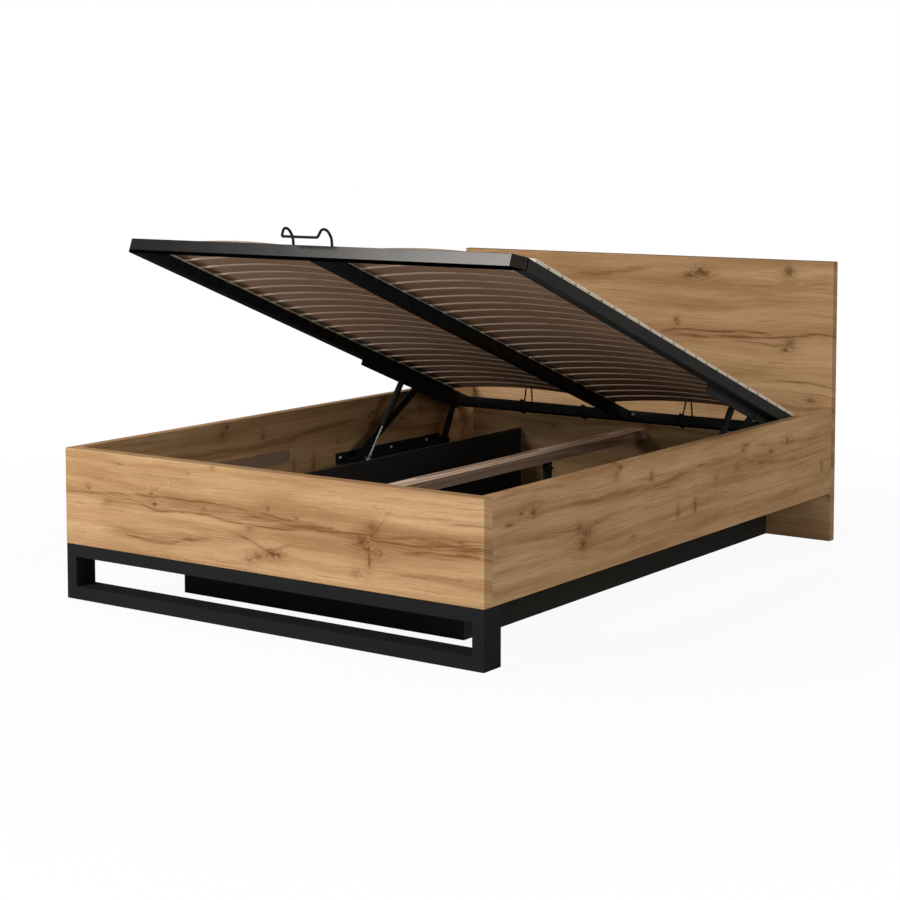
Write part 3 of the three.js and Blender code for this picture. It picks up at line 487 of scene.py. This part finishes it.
def slat_wood():
    """Laminated slats: grain along X, one tone a slat, long edges pale partly from the plies' own tone and
    partly as painted highlight, a painted highlight on the edges near the ends, painted shade on the ends, and
    tops painted paler as painted light.
    """
    s = Shader("slat_wood", specular=0.0)
    x = s.split(s.place)[0]
    u = s.math("SUBTRACT", s.dot(s.place, TOWARDS_FOOT), PLATFORM_HEAD.dot(TOWARDS_FOOT))
    from_first = s.math("SUBTRACT", u, FIRST_SLAT_U - SLAT_PITCH / 2)
    index = s.math("FLOOR", s.math("DIVIDE", from_first, SLAT_PITCH))
    slat = s.join(index, s.math("SIGN", x), 3)
    tone = s.add("ShaderNodeTexWhiteNoise", {"Vector": slat}, noise_dimensions="3D").outputs["Value"]
    on_slat = s.join(x, u, index)
    grain = s.noise(s.stretch(on_slat, SLAT_GRAIN), detail=4, roughness=0.6)
    flecks = s.noise(s.stretch(on_slat, SLAT_FLECKS))
    colour = s.ramp(grain, SLAT_GRAIN_COLOURS)
    colour = s.mix(s.span(flecks, 0.60, 0.70, 0, 0.30), colour, SLAT_FLECK)
    colour = s.mix(0.5, colour, s.ramp(tone, SLAT_TONES))
    away = s.math("ABSOLUTE", x)
    # Painted shade on the slat's ends, where the holders shade them; the same mask brightens the edges there as
    # painted highlight.
    end_shade_and_highlight = s.math("MAXIMUM", s.span(away, *SLAT_OUTER_SHADE_SPAN), s.span(away, *SLAT_INNER_SHADE_SPAN, 0, 0.7))
    colour = s.mix(s.span(end_shade_and_highlight, 0, 1, 0, 0.75), colour, SLAT_END_SHADE)
    # Long edges: partly the plies' own tone, partly painted highlight, which grows paler near the ends.
    edge = s.mix(end_shade_and_highlight, SLAT_EDGE_TONE_AND_HIGHLIGHT, SLAT_EDGE_HIGHLIGHT_NEAR_END)
    edgewise = s.math("ABSOLUTE", s.dot(s.normal, TOWARDS_FOOT))
    colour = s.mix(s.span(edgewise, 0.60, 0.95, 0, 0.9), colour, edge)
    # Painted light: faces turned up from the platform get a paler colour.
    upward = s.dot(s.normal, PLATFORM_NORMAL)
    colour = s.mix(s.span(upward, *FACING, 0, 0.65), colour, SLAT_TOP_PAINTED_LIGHT)
    s.colour(colour)
    s.roughness(s.span(grain, 0.3, 0.7, 0.42, 0.55))
    s.bump(grain, 0.00015, 0.5)
    return s.material


def moulded(name, colour, roughness=0.5, specular=0.2):
    """Moulded plastic with a faint spark-eroded texture."""
    s = Shader(name, roughness, specular=specular)
    speckle = s.noise(s.place, scale=1400)
    cloud = s.noise(s.place, scale=30)
    s.colour(s.mix(s.span(cloud, 0.35, 0.70), colour, toned(colour, 0.86)))
    s.roughness(s.span(speckle, 0.3, 0.7, roughness - 0.05, roughness + 0.08))
    s.bump(speckle, 0.0001, 0.3)
    return s.material


def bright_metal(name, colour, roughness):
    """Bare or plated steel with fine turning marks."""
    s = Shader(name, roughness, metallic=1.0)
    turning_marks = s.noise(s.stretch(s.place, (2600, 300, 300)))
    s.colour(s.mix(s.span(turning_marks, 0.35, 0.65), toned(colour, 0.8), colour))
    s.roughness(s.span(turning_marks, 0.3, 0.7, roughness, roughness + 0.12))
    return s.material


BLACK_METAL = powder_coat("black_metal", srgb(36, 36, 36), 0.5)
# Painted light: the same black powder coat, painted lighter for the lit right rail and right upper bracket.
BLACK_METAL_PAINTED_LIGHTER = powder_coat("rail_metal", srgb(51, 51, 50), 0.5)
GREY_METAL = powder_coat("grey_metal", srgb(35, 34, 33), 0.232, metallic=1.0, uneven=0.004)
DARK_ZINC = powder_coat("dark_zinc", srgb(128, 129, 132), 0.4)
BLACK_BOARD = black_board()
PINE = pine()
SLAT_WOOD = slat_wood()
PALE_PLASTIC = moulded("pale_plastic", srgb(215, 200, 177))
BLACK_PLASTIC = moulded("black_plastic", srgb(30, 30, 30), 0.55, specular=0.0)
STEEL = bright_metal("steel", srgb(196, 198, 202), 0.28)
# Pale zinc, with its glint painted in: a matt near-white stands in for the bolts' reflection.
BOLT_ZINC_AND_GLINT = powder_coat("bolt_zinc", srgb(228, 230, 234), 0.4)
CHROME = bright_metal("chrome_rod", srgb(235, 236, 238), 0.10)
# The right side and the headboard take a shade factor below one, so their print is painted darker as painted
# shade. Each board's top and end shares are partly painted shade too.
FOOTBOARD_OAK = oak(
    "oak_footboard", "x", -1.046, FOOTBOARD_LINES, FOOTBOARD_KNOTS,
    seed=1.0, painted_shade=1.0, top_share=0.28, end_share=0.15,
)
LEFT_OAK = oak(
    "oak_left_side", "y", -0.74, SIDE_LINES, SIDE_KNOTS,
    seed=7.0, painted_shade=1.0, top_share=0.2, end_share=0.0,
)
RIGHT_OAK = oak(
    "oak_right_side", "y", 0.74, SIDE_LINES, SIDE_KNOTS,
    seed=4.0, painted_shade=0.92, top_share=0.05, end_share=0.4,
)
HEADBOARD_OAK = oak(
    "oak_headboard", "x", 1.014, HEADBOARD_LINES, HEADBOARD_KNOTS,
    seed=11.0, painted_shade=0.86, top_share=0.72, end_share=0.16,
)

PINS = tuple(
    f"{word}_{end}_{level}_pin" for word in SIDES for end in ("front", "rear") for level in ("low", "high")
)

# CAD nodes whose own shape is right and which only get a better material
CAD_LOOKS = {
    FOOTBOARD_OAK: ("footboard_panel",),
    LEFT_OAK: ("left_side_panel",),
    RIGHT_OAK: ("right_side_panel",),
    HEADBOARD_OAK: ("headboard_panel",),
    BLACK_BOARD: ("storage_left_panel", "storage_right_panel", "storage_front_panel", "storage_floor_panel"),
    PINE: ("centre_beam", "left_support_batten", "right_support_batten"),
    BLACK_METAL: ("platform_left_rail", "platform_head_rail", "platform_centre_rail", *PINS),
    # The right rail gets the black powder coat painted lighter, as painted light.
    BLACK_METAL_PAINTED_LIGHTER: ("platform_right_rail",),
    STEEL: ("left_strut_stud", "right_strut_stud"),
    DARK_ZINC: ("centre_joint_bolt",),
}


SHARP_ANGLE = math.radians(35)

# Radius at which a turned body's ends close on its axis
AXIS_RADIUS = 0.0001


def paint(obj, material):
    obj.data.materials.clear()
    obj.data.materials.append(material)


def new_piece(name, bm, material, body, matrix=Matrix()):
    """Turns a bmesh into a smoothly shaded piece that rides on a body."""
    bmesh.ops.recalc_face_normals(bm, faces=bm.faces)
    mesh = bpy.data.meshes.new(name)
    bm.to_mesh(mesh)
    bm.free()
    mesh.transform(matrix)
    for polygon in mesh.polygons:
        polygon.use_smooth = True
    mesh.set_sharp_from_angle(angle=SHARP_ANGLE)
    obj = bpy.data.objects.new(name, mesh)
    bpy.context.scene.collection.objects.link(obj)
    weighted = obj.modifiers.new("flat_faces", "WEIGHTED_NORMAL")
    weighted.keep_sharp = True
    paint(obj, material)
    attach(obj, body)
    return obj


def soften(bm, width, segments, angle):
    """Rounds the edges of a bmesh that are sharper than an angle in degrees."""
    sharp = [e for e in bm.edges if len(e.link_faces) == 2 and e.calc_face_angle() > math.radians(angle)]
    bmesh.ops.bevel(
        bm, geom=sharp, offset=width, segments=segments, profile=0.5, affect="EDGES", clamp_overlap=True
    )


# Width, segments and least angle in degrees of the rounding of a CAD node's edges
RAIL_ROUNDING = (0.0014, 3, 30)
CLAMP_ROUNDING = (0.001, 3, 30)
CHANNEL_ROUNDING = (0.0005, 2, 50)
LINK_ROUNDING = (0.0007, 2, 50)

# The clamps' width along X as a share of the CAD solids'
CLAMP_SQUEEZE = 0.6

WELD_DISTANCE = 0.00002
FLAT_ANGLE = math.radians(1)


def rounded_copy(node, material, body, rounding, squeeze=1.0):
    """Copy of a CAD node with rounded edges and a scaled width along X, which stands for the node."""
    bm = bmesh.new()
    bm.from_mesh(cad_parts[node].data)
    bmesh.ops.remove_doubles(bm, verts=bm.verts, dist=WELD_DISTANCE)
    bmesh.ops.dissolve_limit(bm, angle_limit=FLAT_ANGLE, verts=bm.verts, edges=bm.edges)
    middle = sum(v.co.x for v in bm.verts) / len(bm.verts)
    for vertex in bm.verts:
        vertex.co.x = middle + (vertex.co.x - middle) * squeeze
    soften(bm, *rounding)
    obj = new_piece(f"{node}_rounded", bm, material, body)
    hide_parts(node)


def dress_cad():
    for material, nodes in CAD_LOOKS.items():
        for node in nodes:
            paint(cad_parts[node], material)
    rounded_copy("platform_foot_rail", GREY_METAL, "platform", RAIL_ROUNDING)
    for number in range(1, 5):
        clamp = f"head_rail_clamp_{number}"
        rounded_copy(clamp, BLACK_PLASTIC, "platform", CLAMP_ROUNDING, CLAMP_SQUEEZE)
    # The right upper bracket gets the black powder coat painted lighter, as painted light.
    for word, bracket_metal in (("left", BLACK_METAL), ("right", BLACK_METAL_PAINTED_LIGHTER)):
        rounded_copy(f"{word}_base_channel", BLACK_METAL, "bed_frame", CHANNEL_ROUNDING)
        rounded_copy(f"{word}_upper_bracket", bracket_metal, "platform", LINK_ROUNDING)
        rounded_copy(f"{word}_front_link", BLACK_METAL, "front_links", LINK_ROUNDING)
        rounded_copy(f"{word}_rear_link", BLACK_METAL, "rear_links", LINK_ROUNDING)


def bridge(bm, a, b):
    """Joins two rings of vertices with faces."""
    for i in range(len(a)):
        j = (i + 1) % len(a)
        bm.faces.new((a[i], a[j], b[j], b[i]))


def add_ring_sweep(bm, rings):
    """Adds a closed tube through rings of points, capped at both ends."""
    rows = [[bm.verts.new(p) for p in ring] for ring in rings]
    for a, b in zip(rows, rows[1:]):
        bridge(bm, a, b)
    bm.faces.new(rows[0][::-1])
    bm.faces.new(rows[-1])


def add_prism(bm, outline, start, end):
    """Adds a prism of an outline of (x, z) points between two places along Y."""
    add_ring_sweep(bm, [[(x, y, z) for x, z in outline] for y in (start, end)])


def circle(centre, side, other, radius, count):
    """Points on a circle round a centre, counted from one direction towards another."""
    turns = [2 * math.pi * i / count for i in range(count)]
    return [centre + (side * math.cos(t) + other * math.sin(t)) * radius for t in turns]


def square_to(axis):
    """Two directions that are square to an axis and to each other."""
    side = axis.orthogonal().normalized()
    return side, axis.cross(side)


def add_lathe(bm, profile, start, direction, segments):
    """Adds a turned body: profile holds (distance along the axis, radius), and its ends are closed flat."""
    axis = direction.normalized()
    closed = [(profile[0][0], AXIS_RADIUS), *profile, (profile[-1][0], AXIS_RADIUS)]
    add_ring_sweep(bm, [circle(start + axis * d, *square_to(axis), radius, segments) for d, radius in closed])


def add_tube(bm, path, radius, segments=16):
    """Adds a round tube along a path, without twist."""
    side = (path[1] - path[0]).normalized().orthogonal().normalized()
    rings = []
    for i, place in enumerate(path):
        ahead = path[min(i + 1, len(path) - 1)] - path[max(i - 1, 0)]
        direction = ahead.normalized()
        side = (side - direction * side.dot(direction)).normalized()
        rings.append(circle(place, side, direction.cross(side), radius, segments))
    add_ring_sweep(bm, rings)


def rounded_rectangle(half_width, low, high, radius, steps=3):
    """Outline of (a, b) points of a rectangle with round corners."""
    corners = (
        (half_width, low, -90), (half_width, high, 0), (-half_width, high, 90), (-half_width, low, 180),
    )
    points = []
    for a, b, start in corners:
        centre_a = a - math.copysign(radius, a)
        centre_b = b + radius if b == low else b - radius
        for i in range(steps + 1):
            turn = math.radians(start + 90 * i / steps)
            points.append((centre_a + radius * math.cos(turn), centre_b + radius * math.sin(turn)))
    return points


def smooth_path(points, steps=6):
    """Catmull-Rom curve through points, with a number of steps from each point to the next."""
    smooth = []
    for i in range(len(points) - 1):
        before, a = points[max(i - 1, 0)], points[i]
        b, after = points[i + 1], points[min(i + 2, len(points) - 1)]
        for t in (step / steps for step in range(steps)):
            square = 2 * before - 5 * a + 4 * b - after
            cube = 3 * a - before - 3 * b + after
            smooth.append((2 * a + (b - before) * t + square * t * t + cube * t ** 3) * 0.5)
    return smooth + [points[-1]]


# Leg frame: half width, lowest and highest place of its outer and inner outline, and its depth along Y
LEG_TUBES = ("front_frame_top_tube", "front_frame_bottom_tube", "front_frame_left_leg", "front_frame_right_leg")
LEG_OUTER = (0.74, 0.0, 0.163)
LEG_INNER = (0.7025, 0.038, 0.1255)
LEG_DEPTH = (-1.046, -0.968)
LEG_ROUNDING = (0.0015, 3, 30)


def add_leg_frame():
    """The four tubes of the leg frame, welded and ground flush, with rounded edges."""
    near, far = LEG_DEPTH
    bm = bmesh.new()
    rings = []
    for (half, low, high), y in ((LEG_OUTER, near), (LEG_OUTER, far), (LEG_INNER, far), (LEG_INNER, near)):
        corners = ((-half, low), (half, low), (half, high), (-half, high))
        rings.append([bm.verts.new((x, y, z)) for x, z in corners])
    for a, b in zip(rings, rings[1:] + rings[:1]):
        bridge(bm, a, b)
    bmesh.ops.recalc_face_normals(bm, faces=bm.faces)
    soften(bm, *LEG_ROUNDING)
    legs = new_piece("welded_leg_frame", bm, BLACK_METAL, "bed_frame")
    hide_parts(*LEG_TUBES)


# Slats, in metres of the platform's own coordinates
SLAT_WIDTH = 0.057
SLAT_THICKNESS = 0.007
SLAT_ROUNDING = 0.0014
SLAT_RISE = 0.020
SLAT_SEAT = 0.0033
SLAT_CROWN = SLAT_SEAT + SLAT_RISE + SLAT_THICKNESS
SLAT_INNER_X = 0.0183
SLAT_OUTER_X = 0.6557
SLAT_FLAT = 0.012
SLAT_STEPS = 32
SLAT_PLACES = [FIRST_SLAT_U + SLAT_PITCH * i for i in range(SLAT_COUNT)]


def slat_stations(side):
    """X and rise of the places that a slat is swept through: flat ends and an arch between them."""
    start = SLAT_INNER_X + SLAT_FLAT
    length = SLAT_OUTER_X - SLAT_INNER_X - 2 * SLAT_FLAT
    shares = [i / SLAT_STEPS for i in range(SLAT_STEPS + 1)]
    arch = [(start + length * share, SLAT_RISE * (1 - (2 * share - 1) ** 2)) for share in shares]
    return [(side * x, rise) for x, rise in ((SLAT_INNER_X, 0.0), *arch, (SLAT_OUTER_X, 0.0))]


def add_slats():
    outline = rounded_rectangle(SLAT_WIDTH / 2, 0, SLAT_THICKNESS, SLAT_ROUNDING)
    for word, side in SIDES.items():
        bm = bmesh.new()
        for u in SLAT_PLACES:
            stations = slat_stations(side)
            add_ring_sweep(bm, [[(x, a - u, SLAT_SEAT + rise + b) for a, b in outline] for x, rise in stations])
        slats = new_piece(f"{word}_slat_set", bm, SLAT_WOOD, "platform", RAISED)
        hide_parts(f"{word}_slats")


# Straps: their places on the slats, and how far their ends drift sideways on the way to the head rail
STRAP_PLACES = {"left": (-0.3477, -0.3244), "right": (0.2950, 0.3160)}
STRAP_DRIFT = {"left": (-0.070, -0.061), "right": (-0.063, -0.049)}
STRAP_WIDTH = 0.006
STRAP_THICKNESS = 0.0014
STRAP_LIFT = 0.0002
STRAP_SAG = 0.0012

# (u, n, share of the drift) of a strap's underside from the first slat down onto the head rail
STRAP_FALL = (
    (0.1505, SLAT_CROWN - 0.0015, 0), (0.1495, SLAT_CROWN - 0.008, 0.02), (0.120, 0.0165, 0.28),
    (0.080, 0.0085, 0.63), (0.043, 0.0018, 0.97), (0.039, 0.0006, 1), (0.012, 0.0004, 1.1),
)


def strap_route():
    """(u, n, share of the drift) of a strap's underside, from the last slat but one to the head rail."""
    route = []
    for u in reversed(SLAT_PLACES[:-1]):
        route += [(u + SLAT_WIDTH / 2, SLAT_CROWN, 0), (u, SLAT_CROWN + STRAP_LIFT, 0)]
        route += [(u - SLAT_WIDTH / 2, SLAT_CROWN, 0), (u - SLAT_PITCH / 2, SLAT_CROWN - STRAP_SAG, 0)]
    return route[:-1] + list(STRAP_FALL)


def add_straps():
    half = STRAP_WIDTH / 2
    for word in SIDES:
        for number, (place, drift) in enumerate(zip(STRAP_PLACES[word], STRAP_DRIFT[word]), 1):
            rings = []
            for u, n, share in strap_route():
                x, top = place + drift * share, n + STRAP_THICKNESS
                rings.append([(x - half, -u, n), (x + half, -u, n), (x + half, -u, top), (x - half, -u, top)])
            bm = bmesh.new()
            add_ring_sweep(bm, rings)
            new_piece(f"{word}_strap_{number}", bm, BLACK_PLASTIC, "platform", RAISED)


# Slat holders: caps on thin strips, with a tooth under the slat's end and a lip over it
HOLDER_BASE = 0.002
HOLDER_GAP = 0.0003
HOLDER_HEIGHT = 0.014
HOLDER_LENGTH = 0.062
HOLDER_LIP = 0.009
HOLDER_TOOTH = 0.006
HOLDER_OUTER_X = 0.698
HOLDER_SLOPE = 0.003
HOLDER_NOSE = 0.001
HOLDER_SEAT_X = SLAT_OUTER_X + HOLDER_GAP
HOLDER_SLOT_TOP = SLAT_SEAT + SLAT_THICKNESS + 0.0005
HOLDER_ROUNDING = (0.0005, 1, 40)
CENTRE_WALL_X = SLAT_INNER_X - HOLDER_GAP
STRIP_INNER_X = 0.662
STRIP_CENTRE_X = 0.021
STRIP_START_U = 0.141
STRIP_END_U = 1.8637
STRIP_TOP = HOLDER_BASE - 0.0001


def holder_outline(side):
    """(x, n) outline of one holder on an outer rail."""
    tooth, lip = HOLDER_SEAT_X - HOLDER_TOOTH, HOLDER_SEAT_X - HOLDER_LIP
    outline = [
        (tooth, HOLDER_GAP), (HOLDER_OUTER_X, HOLDER_GAP), (HOLDER_OUTER_X, HOLDER_HEIGHT - HOLDER_SLOPE),
        (HOLDER_OUTER_X - HOLDER_SLOPE, HOLDER_HEIGHT), (lip, HOLDER_HEIGHT),
        (lip, HOLDER_SLOT_TOP + HOLDER_NOSE), (lip + HOLDER_NOSE, HOLDER_SLOT_TOP),
        (HOLDER_SEAT_X, HOLDER_SLOT_TOP), (HOLDER_SEAT_X, HOLDER_BASE), (tooth, HOLDER_BASE),
    ]
    return [(side * x, n) for x, n in outline]


def centre_holder_outline():
    """(x, n) outline of a double holder on the centre rail."""
    tooth, lip = CENTRE_WALL_X + HOLDER_TOOTH, CENTRE_WALL_X + HOLDER_LIP
    half = [
        (tooth, HOLDER_GAP), (tooth, HOLDER_BASE), (CENTRE_WALL_X, HOLDER_BASE),
        (CENTRE_WALL_X, HOLDER_SLOT_TOP), (lip, HOLDER_SLOT_TOP), (lip, HOLDER_HEIGHT - HOLDER_NOSE),
        (lip - HOLDER_NOSE, HOLDER_HEIGHT),
    ]
    return half + [(-x, n) for x, n in reversed(half)]


def add_holders():
    sets = (
        ("left_slat_holders", holder_outline(-1), (-HOLDER_OUTER_X, -STRIP_INNER_X)),
        ("right_slat_holders", holder_outline(1), (STRIP_INNER_X, HOLDER_OUTER_X)),
        ("centre_slat_holders", centre_holder_outline(), (-STRIP_CENTRE_X, STRIP_CENTRE_X)),
    )
    for node, outline, (x0, x1) in sets:
        strip = [(x0, HOLDER_GAP), (x1, HOLDER_GAP), (x1, STRIP_TOP), (x0, STRIP_TOP)]
        bm = bmesh.new()
        for u in SLAT_PLACES:
            add_prism(bm, outline, -u - HOLDER_LENGTH / 2, -u + HOLDER_LENGTH / 2)
        for u in [STRIP_START_U] + [place + SLAT_PITCH / 2 for place in SLAT_PLACES]:
            near, far = max(STRIP_START_U, u - SLAT_PITCH / 2), min(STRIP_END_U, u + SLAT_PITCH / 2)
            add_prism(bm, strip, -far, -near)
        bmesh.ops.recalc_face_normals(bm, faces=bm.faces)
        soften(bm, *HOLDER_ROUNDING)
        holders = new_piece(f"{node}_caps", bm, PALE_PLASTIC, "platform", RAISED)
        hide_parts(node)


# Hoop of bent wire that keeps the mattress in place: half of its bends, in (x, u, n)
WIRE_RADIUS = 0.0039
HOOP_BENDS = (
    (0.0691, 1.8860, 0.0003), (0.0691, 1.8885, 0.0080), (0.0691, 1.8979, 0.0240), (0.0691, 1.9130, 0.0345),
    (0.0686, 1.9240, 0.0381), (0.0678, 1.9360, 0.0373), (0.0668, 1.9450, 0.0309), (0.0653, 1.9478, 0.0190),
    (0.0630, 1.9492, 0.0110), (0.0580, 1.9496, 0.0090), (0.0500, 1.9496, 0.0088),
)


def add_retainer():
    points = [Vector((-x, -u, n)) for x, u, n in HOOP_BENDS]
    points += [Vector((x, -u, n)) for x, u, n in reversed(HOOP_BENDS)]
    bm = bmesh.new()
    add_tube(bm, smooth_path(points), WIRE_RADIUS)
    hoop = new_piece("retainer_hoop", bm, BLACK_METAL, "platform", RAISED)
    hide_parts("mattress_retainer")


# Gas struts: their pivots at rest, and profiles of (distance from the pivot, radius)
STRUT_LOW = Vector((0, 0.2864, 0.2516))
STRUT_HIGH = Vector((0, 0.49307, 0.51606))
STRUT_PLANE_X = 0.643
ROD_EYE = ((-0.0042, 0.0088), (-0.003, 0.0098), (0.003, 0.0098), (0.0042, 0.0088))
ROD_FITTING = ((0.006, 0.0054), (0.019, 0.0050), (0.020, 0.0041))
ROD_RADIUS = 0.0040
ROD_SHORT_OF_PIVOT = 0.176
CYLINDER = (
    (-0.208, 0.0086), (-0.2066, 0.0098), (-0.203, 0.0098), (-0.202, 0.0108), (-0.030, 0.0108), (-0.020, 0.0104),
    (-0.0165, 0.0085), (-0.0150, 0.0050), (-0.004, 0.0048),
)
CYLINDER_EYE = ((-0.0046, 0.0088), (-0.003, 0.0098), (0.003, 0.0098), (0.0046, 0.0088))
UPPER_STUD = ((-0.0175, 0.0039), (0.004, 0.0039))


def add_struts():
    for word, side in SIDES.items():
        inward = Vector((-side, 0, 0))
        sideways = Vector((side * STRUT_PLANE_X, 0, 0))
        low, high = STRUT_LOW + sideways, STRUT_HIGH + sideways
        up = high - low
        rod_end = (up.length - ROD_SHORT_OF_PIVOT, ROD_RADIUS)

        bm = bmesh.new()
        add_lathe(bm, ROD_EYE, low, inward, segments=28)
        add_lathe(bm, (*ROD_FITTING, rod_end), low, up, segments=28)
        rod = new_piece(f"{word}_gas_rod", bm, CHROME, "strut_rods")
        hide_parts(f"{word}_strut_rod")

        bm = bmesh.new()
        add_lathe(bm, CYLINDER, high, up, segments=32)
        add_lathe(bm, CYLINDER_EYE, high, inward, segments=28)
        add_lathe(bm, UPPER_STUD, high, inward, segments=20)
        cylinder = new_piece(f"{word}_gas_cylinder", bm, BLACK_METAL, "strut_cylinders")
        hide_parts(f"{word}_strut_cylinder")


# Bolts on the inner face of the base channels' walls: places, washer profile, and head as (distance, radius)
CHANNEL_FACE_X = 0.7052
CHANNEL_BOLT_YS = (0.2045, 0.4944, 0.709)
CHANNEL_BOLT_Z = 0.2563
WASHER = ((0, 0.0055), (0.0009, 0.0055), (0.0013, 0.0049))
BOLT_HEAD_RADIUS = 0.0085 / math.sqrt(3)
BOLT_HEAD = ((0.0013, BOLT_HEAD_RADIUS), (0.0045, BOLT_HEAD_RADIUS), (0.0053, 0.86 * BOLT_HEAD_RADIUS))


def add_channel_bolts():
    for word, side in SIDES.items():
        inward = Vector((-side, 0, 0))
        bm = bmesh.new()
        for y in CHANNEL_BOLT_YS:
            place = Vector((side * CHANNEL_FACE_X, y, CHANNEL_BOLT_Z))
            add_lathe(bm, WASHER, place, inward, segments=24)
            head = [circle(place + inward * d, *square_to(inward), radius, 6) for d, radius in BOLT_HEAD]
            add_ring_sweep(bm, head)
        # The bolts' near-white is partly the zinc's own colour and partly painted glint.
        new_piece(f"{word}_channel_bolts", bm, BOLT_ZINC_AND_GLINT, "bed_frame")


# Centre leg and its cross pin
LEG_RADIUS = 0.0152
LEG_FOOT = ((0, 0.0150), (0.0015, 0.0163), (0.022, 0.0163), (0.023, LEG_RADIUS))
LEG_COLLAR_RADIUS = 0.0163
LEG_COLLAR_HEIGHT = 0.004
CROSS_PIN_RADIUS = 0.0038
CROSS_PIN_TIP_RADIUS = 0.0030
CROSS_PIN_TIP = 0.001


def add_centre_leg():
    low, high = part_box("centre_leg")
    middle = (low + high) / 2
    height = high.z - low.z
    collar_low = height - LEG_COLLAR_HEIGHT
    profile = (
        *LEG_FOOT, (collar_low, LEG_RADIUS), (collar_low, LEG_COLLAR_RADIUS), (height, LEG_COLLAR_RADIUS),
    )
    bm = bmesh.new()
    add_lathe(bm, profile, Vector((middle.x, middle.y, low.z)), Vector((0, 0, 1)), segments=40)
    leg = new_piece("centre_leg_tube", bm, BLACK_METAL, "bed_frame")
    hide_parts("centre_leg")

    low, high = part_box("centre_leg_pin")
    length = high.x - low.x
    profile = (
        (0, CROSS_PIN_TIP_RADIUS), (CROSS_PIN_TIP, CROSS_PIN_RADIUS),
        (length - CROSS_PIN_TIP, CROSS_PIN_RADIUS), (length, CROSS_PIN_TIP_RADIUS),
    )
    bm = bmesh.new()
    add_lathe(bm, profile, Vector((low.x, middle.y, (low.z + high.z) / 2)), Vector((1, 0, 0)), segments=24)
    pin = new_piece("centre_leg_cross_pin", bm, BLACK_METAL, "bed_frame")
    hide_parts("centre_leg_pin")


# Lamps: name, place, target, size and power
LAMPS = (
    ("key", (-2.7, -5.6, 3.9), (0, -0.2, 0.5), (2.2, 2.2), 410),
    ("fill", (6.5, -0.8, 2.6), (0.3, 0, 0.5), (3.0, 2.5), 128),
    ("back", (-1.5, 6.6, 3.0), (0, 1, 0.5), (3.0, 2.5), 80),
)
WORLD_STRENGTH = 0.22


def add_lamps():
    for name, place, target, size, power in LAMPS:
        data = bpy.data.lights.new(name, "AREA")
        data.shape = "RECTANGLE"
        data.size, data.size_y = size
        data.energy = power
        lamp = bpy.data.objects.new(name, data)
        lamp.location = place
        lamp.rotation_euler = (Vector(target) - Vector(place)).to_track_quat("-Z", "Y").to_euler()
        bpy.context.scene.collection.objects.link(lamp)


def add_world():
    """White where the camera, a gloss or glass looks at it, and a soft light for the rest."""
    world = bpy.data.worlds.new("studio")
    bpy.context.scene.world = world
    world.use_nodes = True
    world.node_tree.nodes.clear()
    nodes = Nodes(world.node_tree)
    soft = nodes.add("ShaderNodeBackground", {"Color": WHITE, "Strength": WORLD_STRENGTH})
    white = nodes.add("ShaderNodeBackground", {"Color": WHITE, "Strength": 1.0})
    mix = nodes.add("ShaderNodeMixShader", {0: nodes.seen(), 1: soft.outputs[0], 2: white.outputs[0]})
    nodes.add("ShaderNodeOutputWorld", {0: mix.outputs[0]})


# The floor keeps a share of the object's shadow near the object, and is plain white further out.
FLOOR_HALF_SIZE = 60
FLOOR_Z = -0.0005
FLOOR_COLOUR = (0.75, 0.75, 0.75, 1)
FLOOR_NEAR, FLOOR_FAR = 1.4, 3.0
FLOOR_WHITE_SHARE = 0.94


def add_floor():
    bm = bmesh.new()
    bmesh.ops.create_grid(bm, x_segments=1, y_segments=1, size=FLOOR_HALF_SIZE)
    mesh = bpy.data.meshes.new("floor")
    bm.to_mesh(mesh)
    bm.free()
    floor = bpy.data.objects.new("floor", mesh)
    floor.location.z = FLOOR_Z
    bpy.context.scene.collection.objects.link(floor)
    s = Shader("pale_floor", 0.9, specular=0.0)
    s.colour(FLOOR_COLOUR)
    glow = s.add("ShaderNodeEmission", {"Color": WHITE, "Strength": 1.0})
    distance = s.math("SQRT", s.dot(s.place, s.place))
    share = s.math("MULTIPLY", s.seen(), s.span(distance, FLOOR_NEAR, FLOOR_FAR, FLOOR_WHITE_SHARE, 1.0))
    mix = s.add("ShaderNodeMixShader", {0: share, 1: s.surface.outputs[0], 2: glow.outputs[0]})
    s.feed(s.tree.nodes["Material Output"].inputs["Surface"], mix.outputs[0])
    paint(floor, s.material)


# The photograph's viewing angle
CAMERA_PLACE = (3.5891, -5.2466, 1.3573)
CAMERA_DOWN = 0.0792
CAMERA_TURN = 0.61291
CAMERA_LENS = 81.78
CAMERA_SENSOR = 36
CAMERA_SHIFT = -0.17
CAMERA_REACH = 200


def add_camera():
    data = bpy.data.cameras.new("camera")
    data.lens = CAMERA_LENS
    data.sensor_width = CAMERA_SENSOR
    data.shift_y = CAMERA_SHIFT
    data.clip_end = CAMERA_REACH
    camera = bpy.data.objects.new("camera", data)
    camera.location = CAMERA_PLACE
    camera.rotation_euler = (math.pi / 2 - CAMERA_DOWN, 0, CAMERA_TURN)
    bpy.context.scene.collection.objects.link(camera)
    bpy.context.scene.camera = camera


dress_cad()
add_leg_frame()
add_slats()
add_straps()
add_holders()
add_retainer()
add_struts()
add_channel_bolts()
add_centre_leg()

add_world()
add_floor()
add_lamps()
add_camera()
bpy.context.scene.view_settings.view_transform = "Standard"
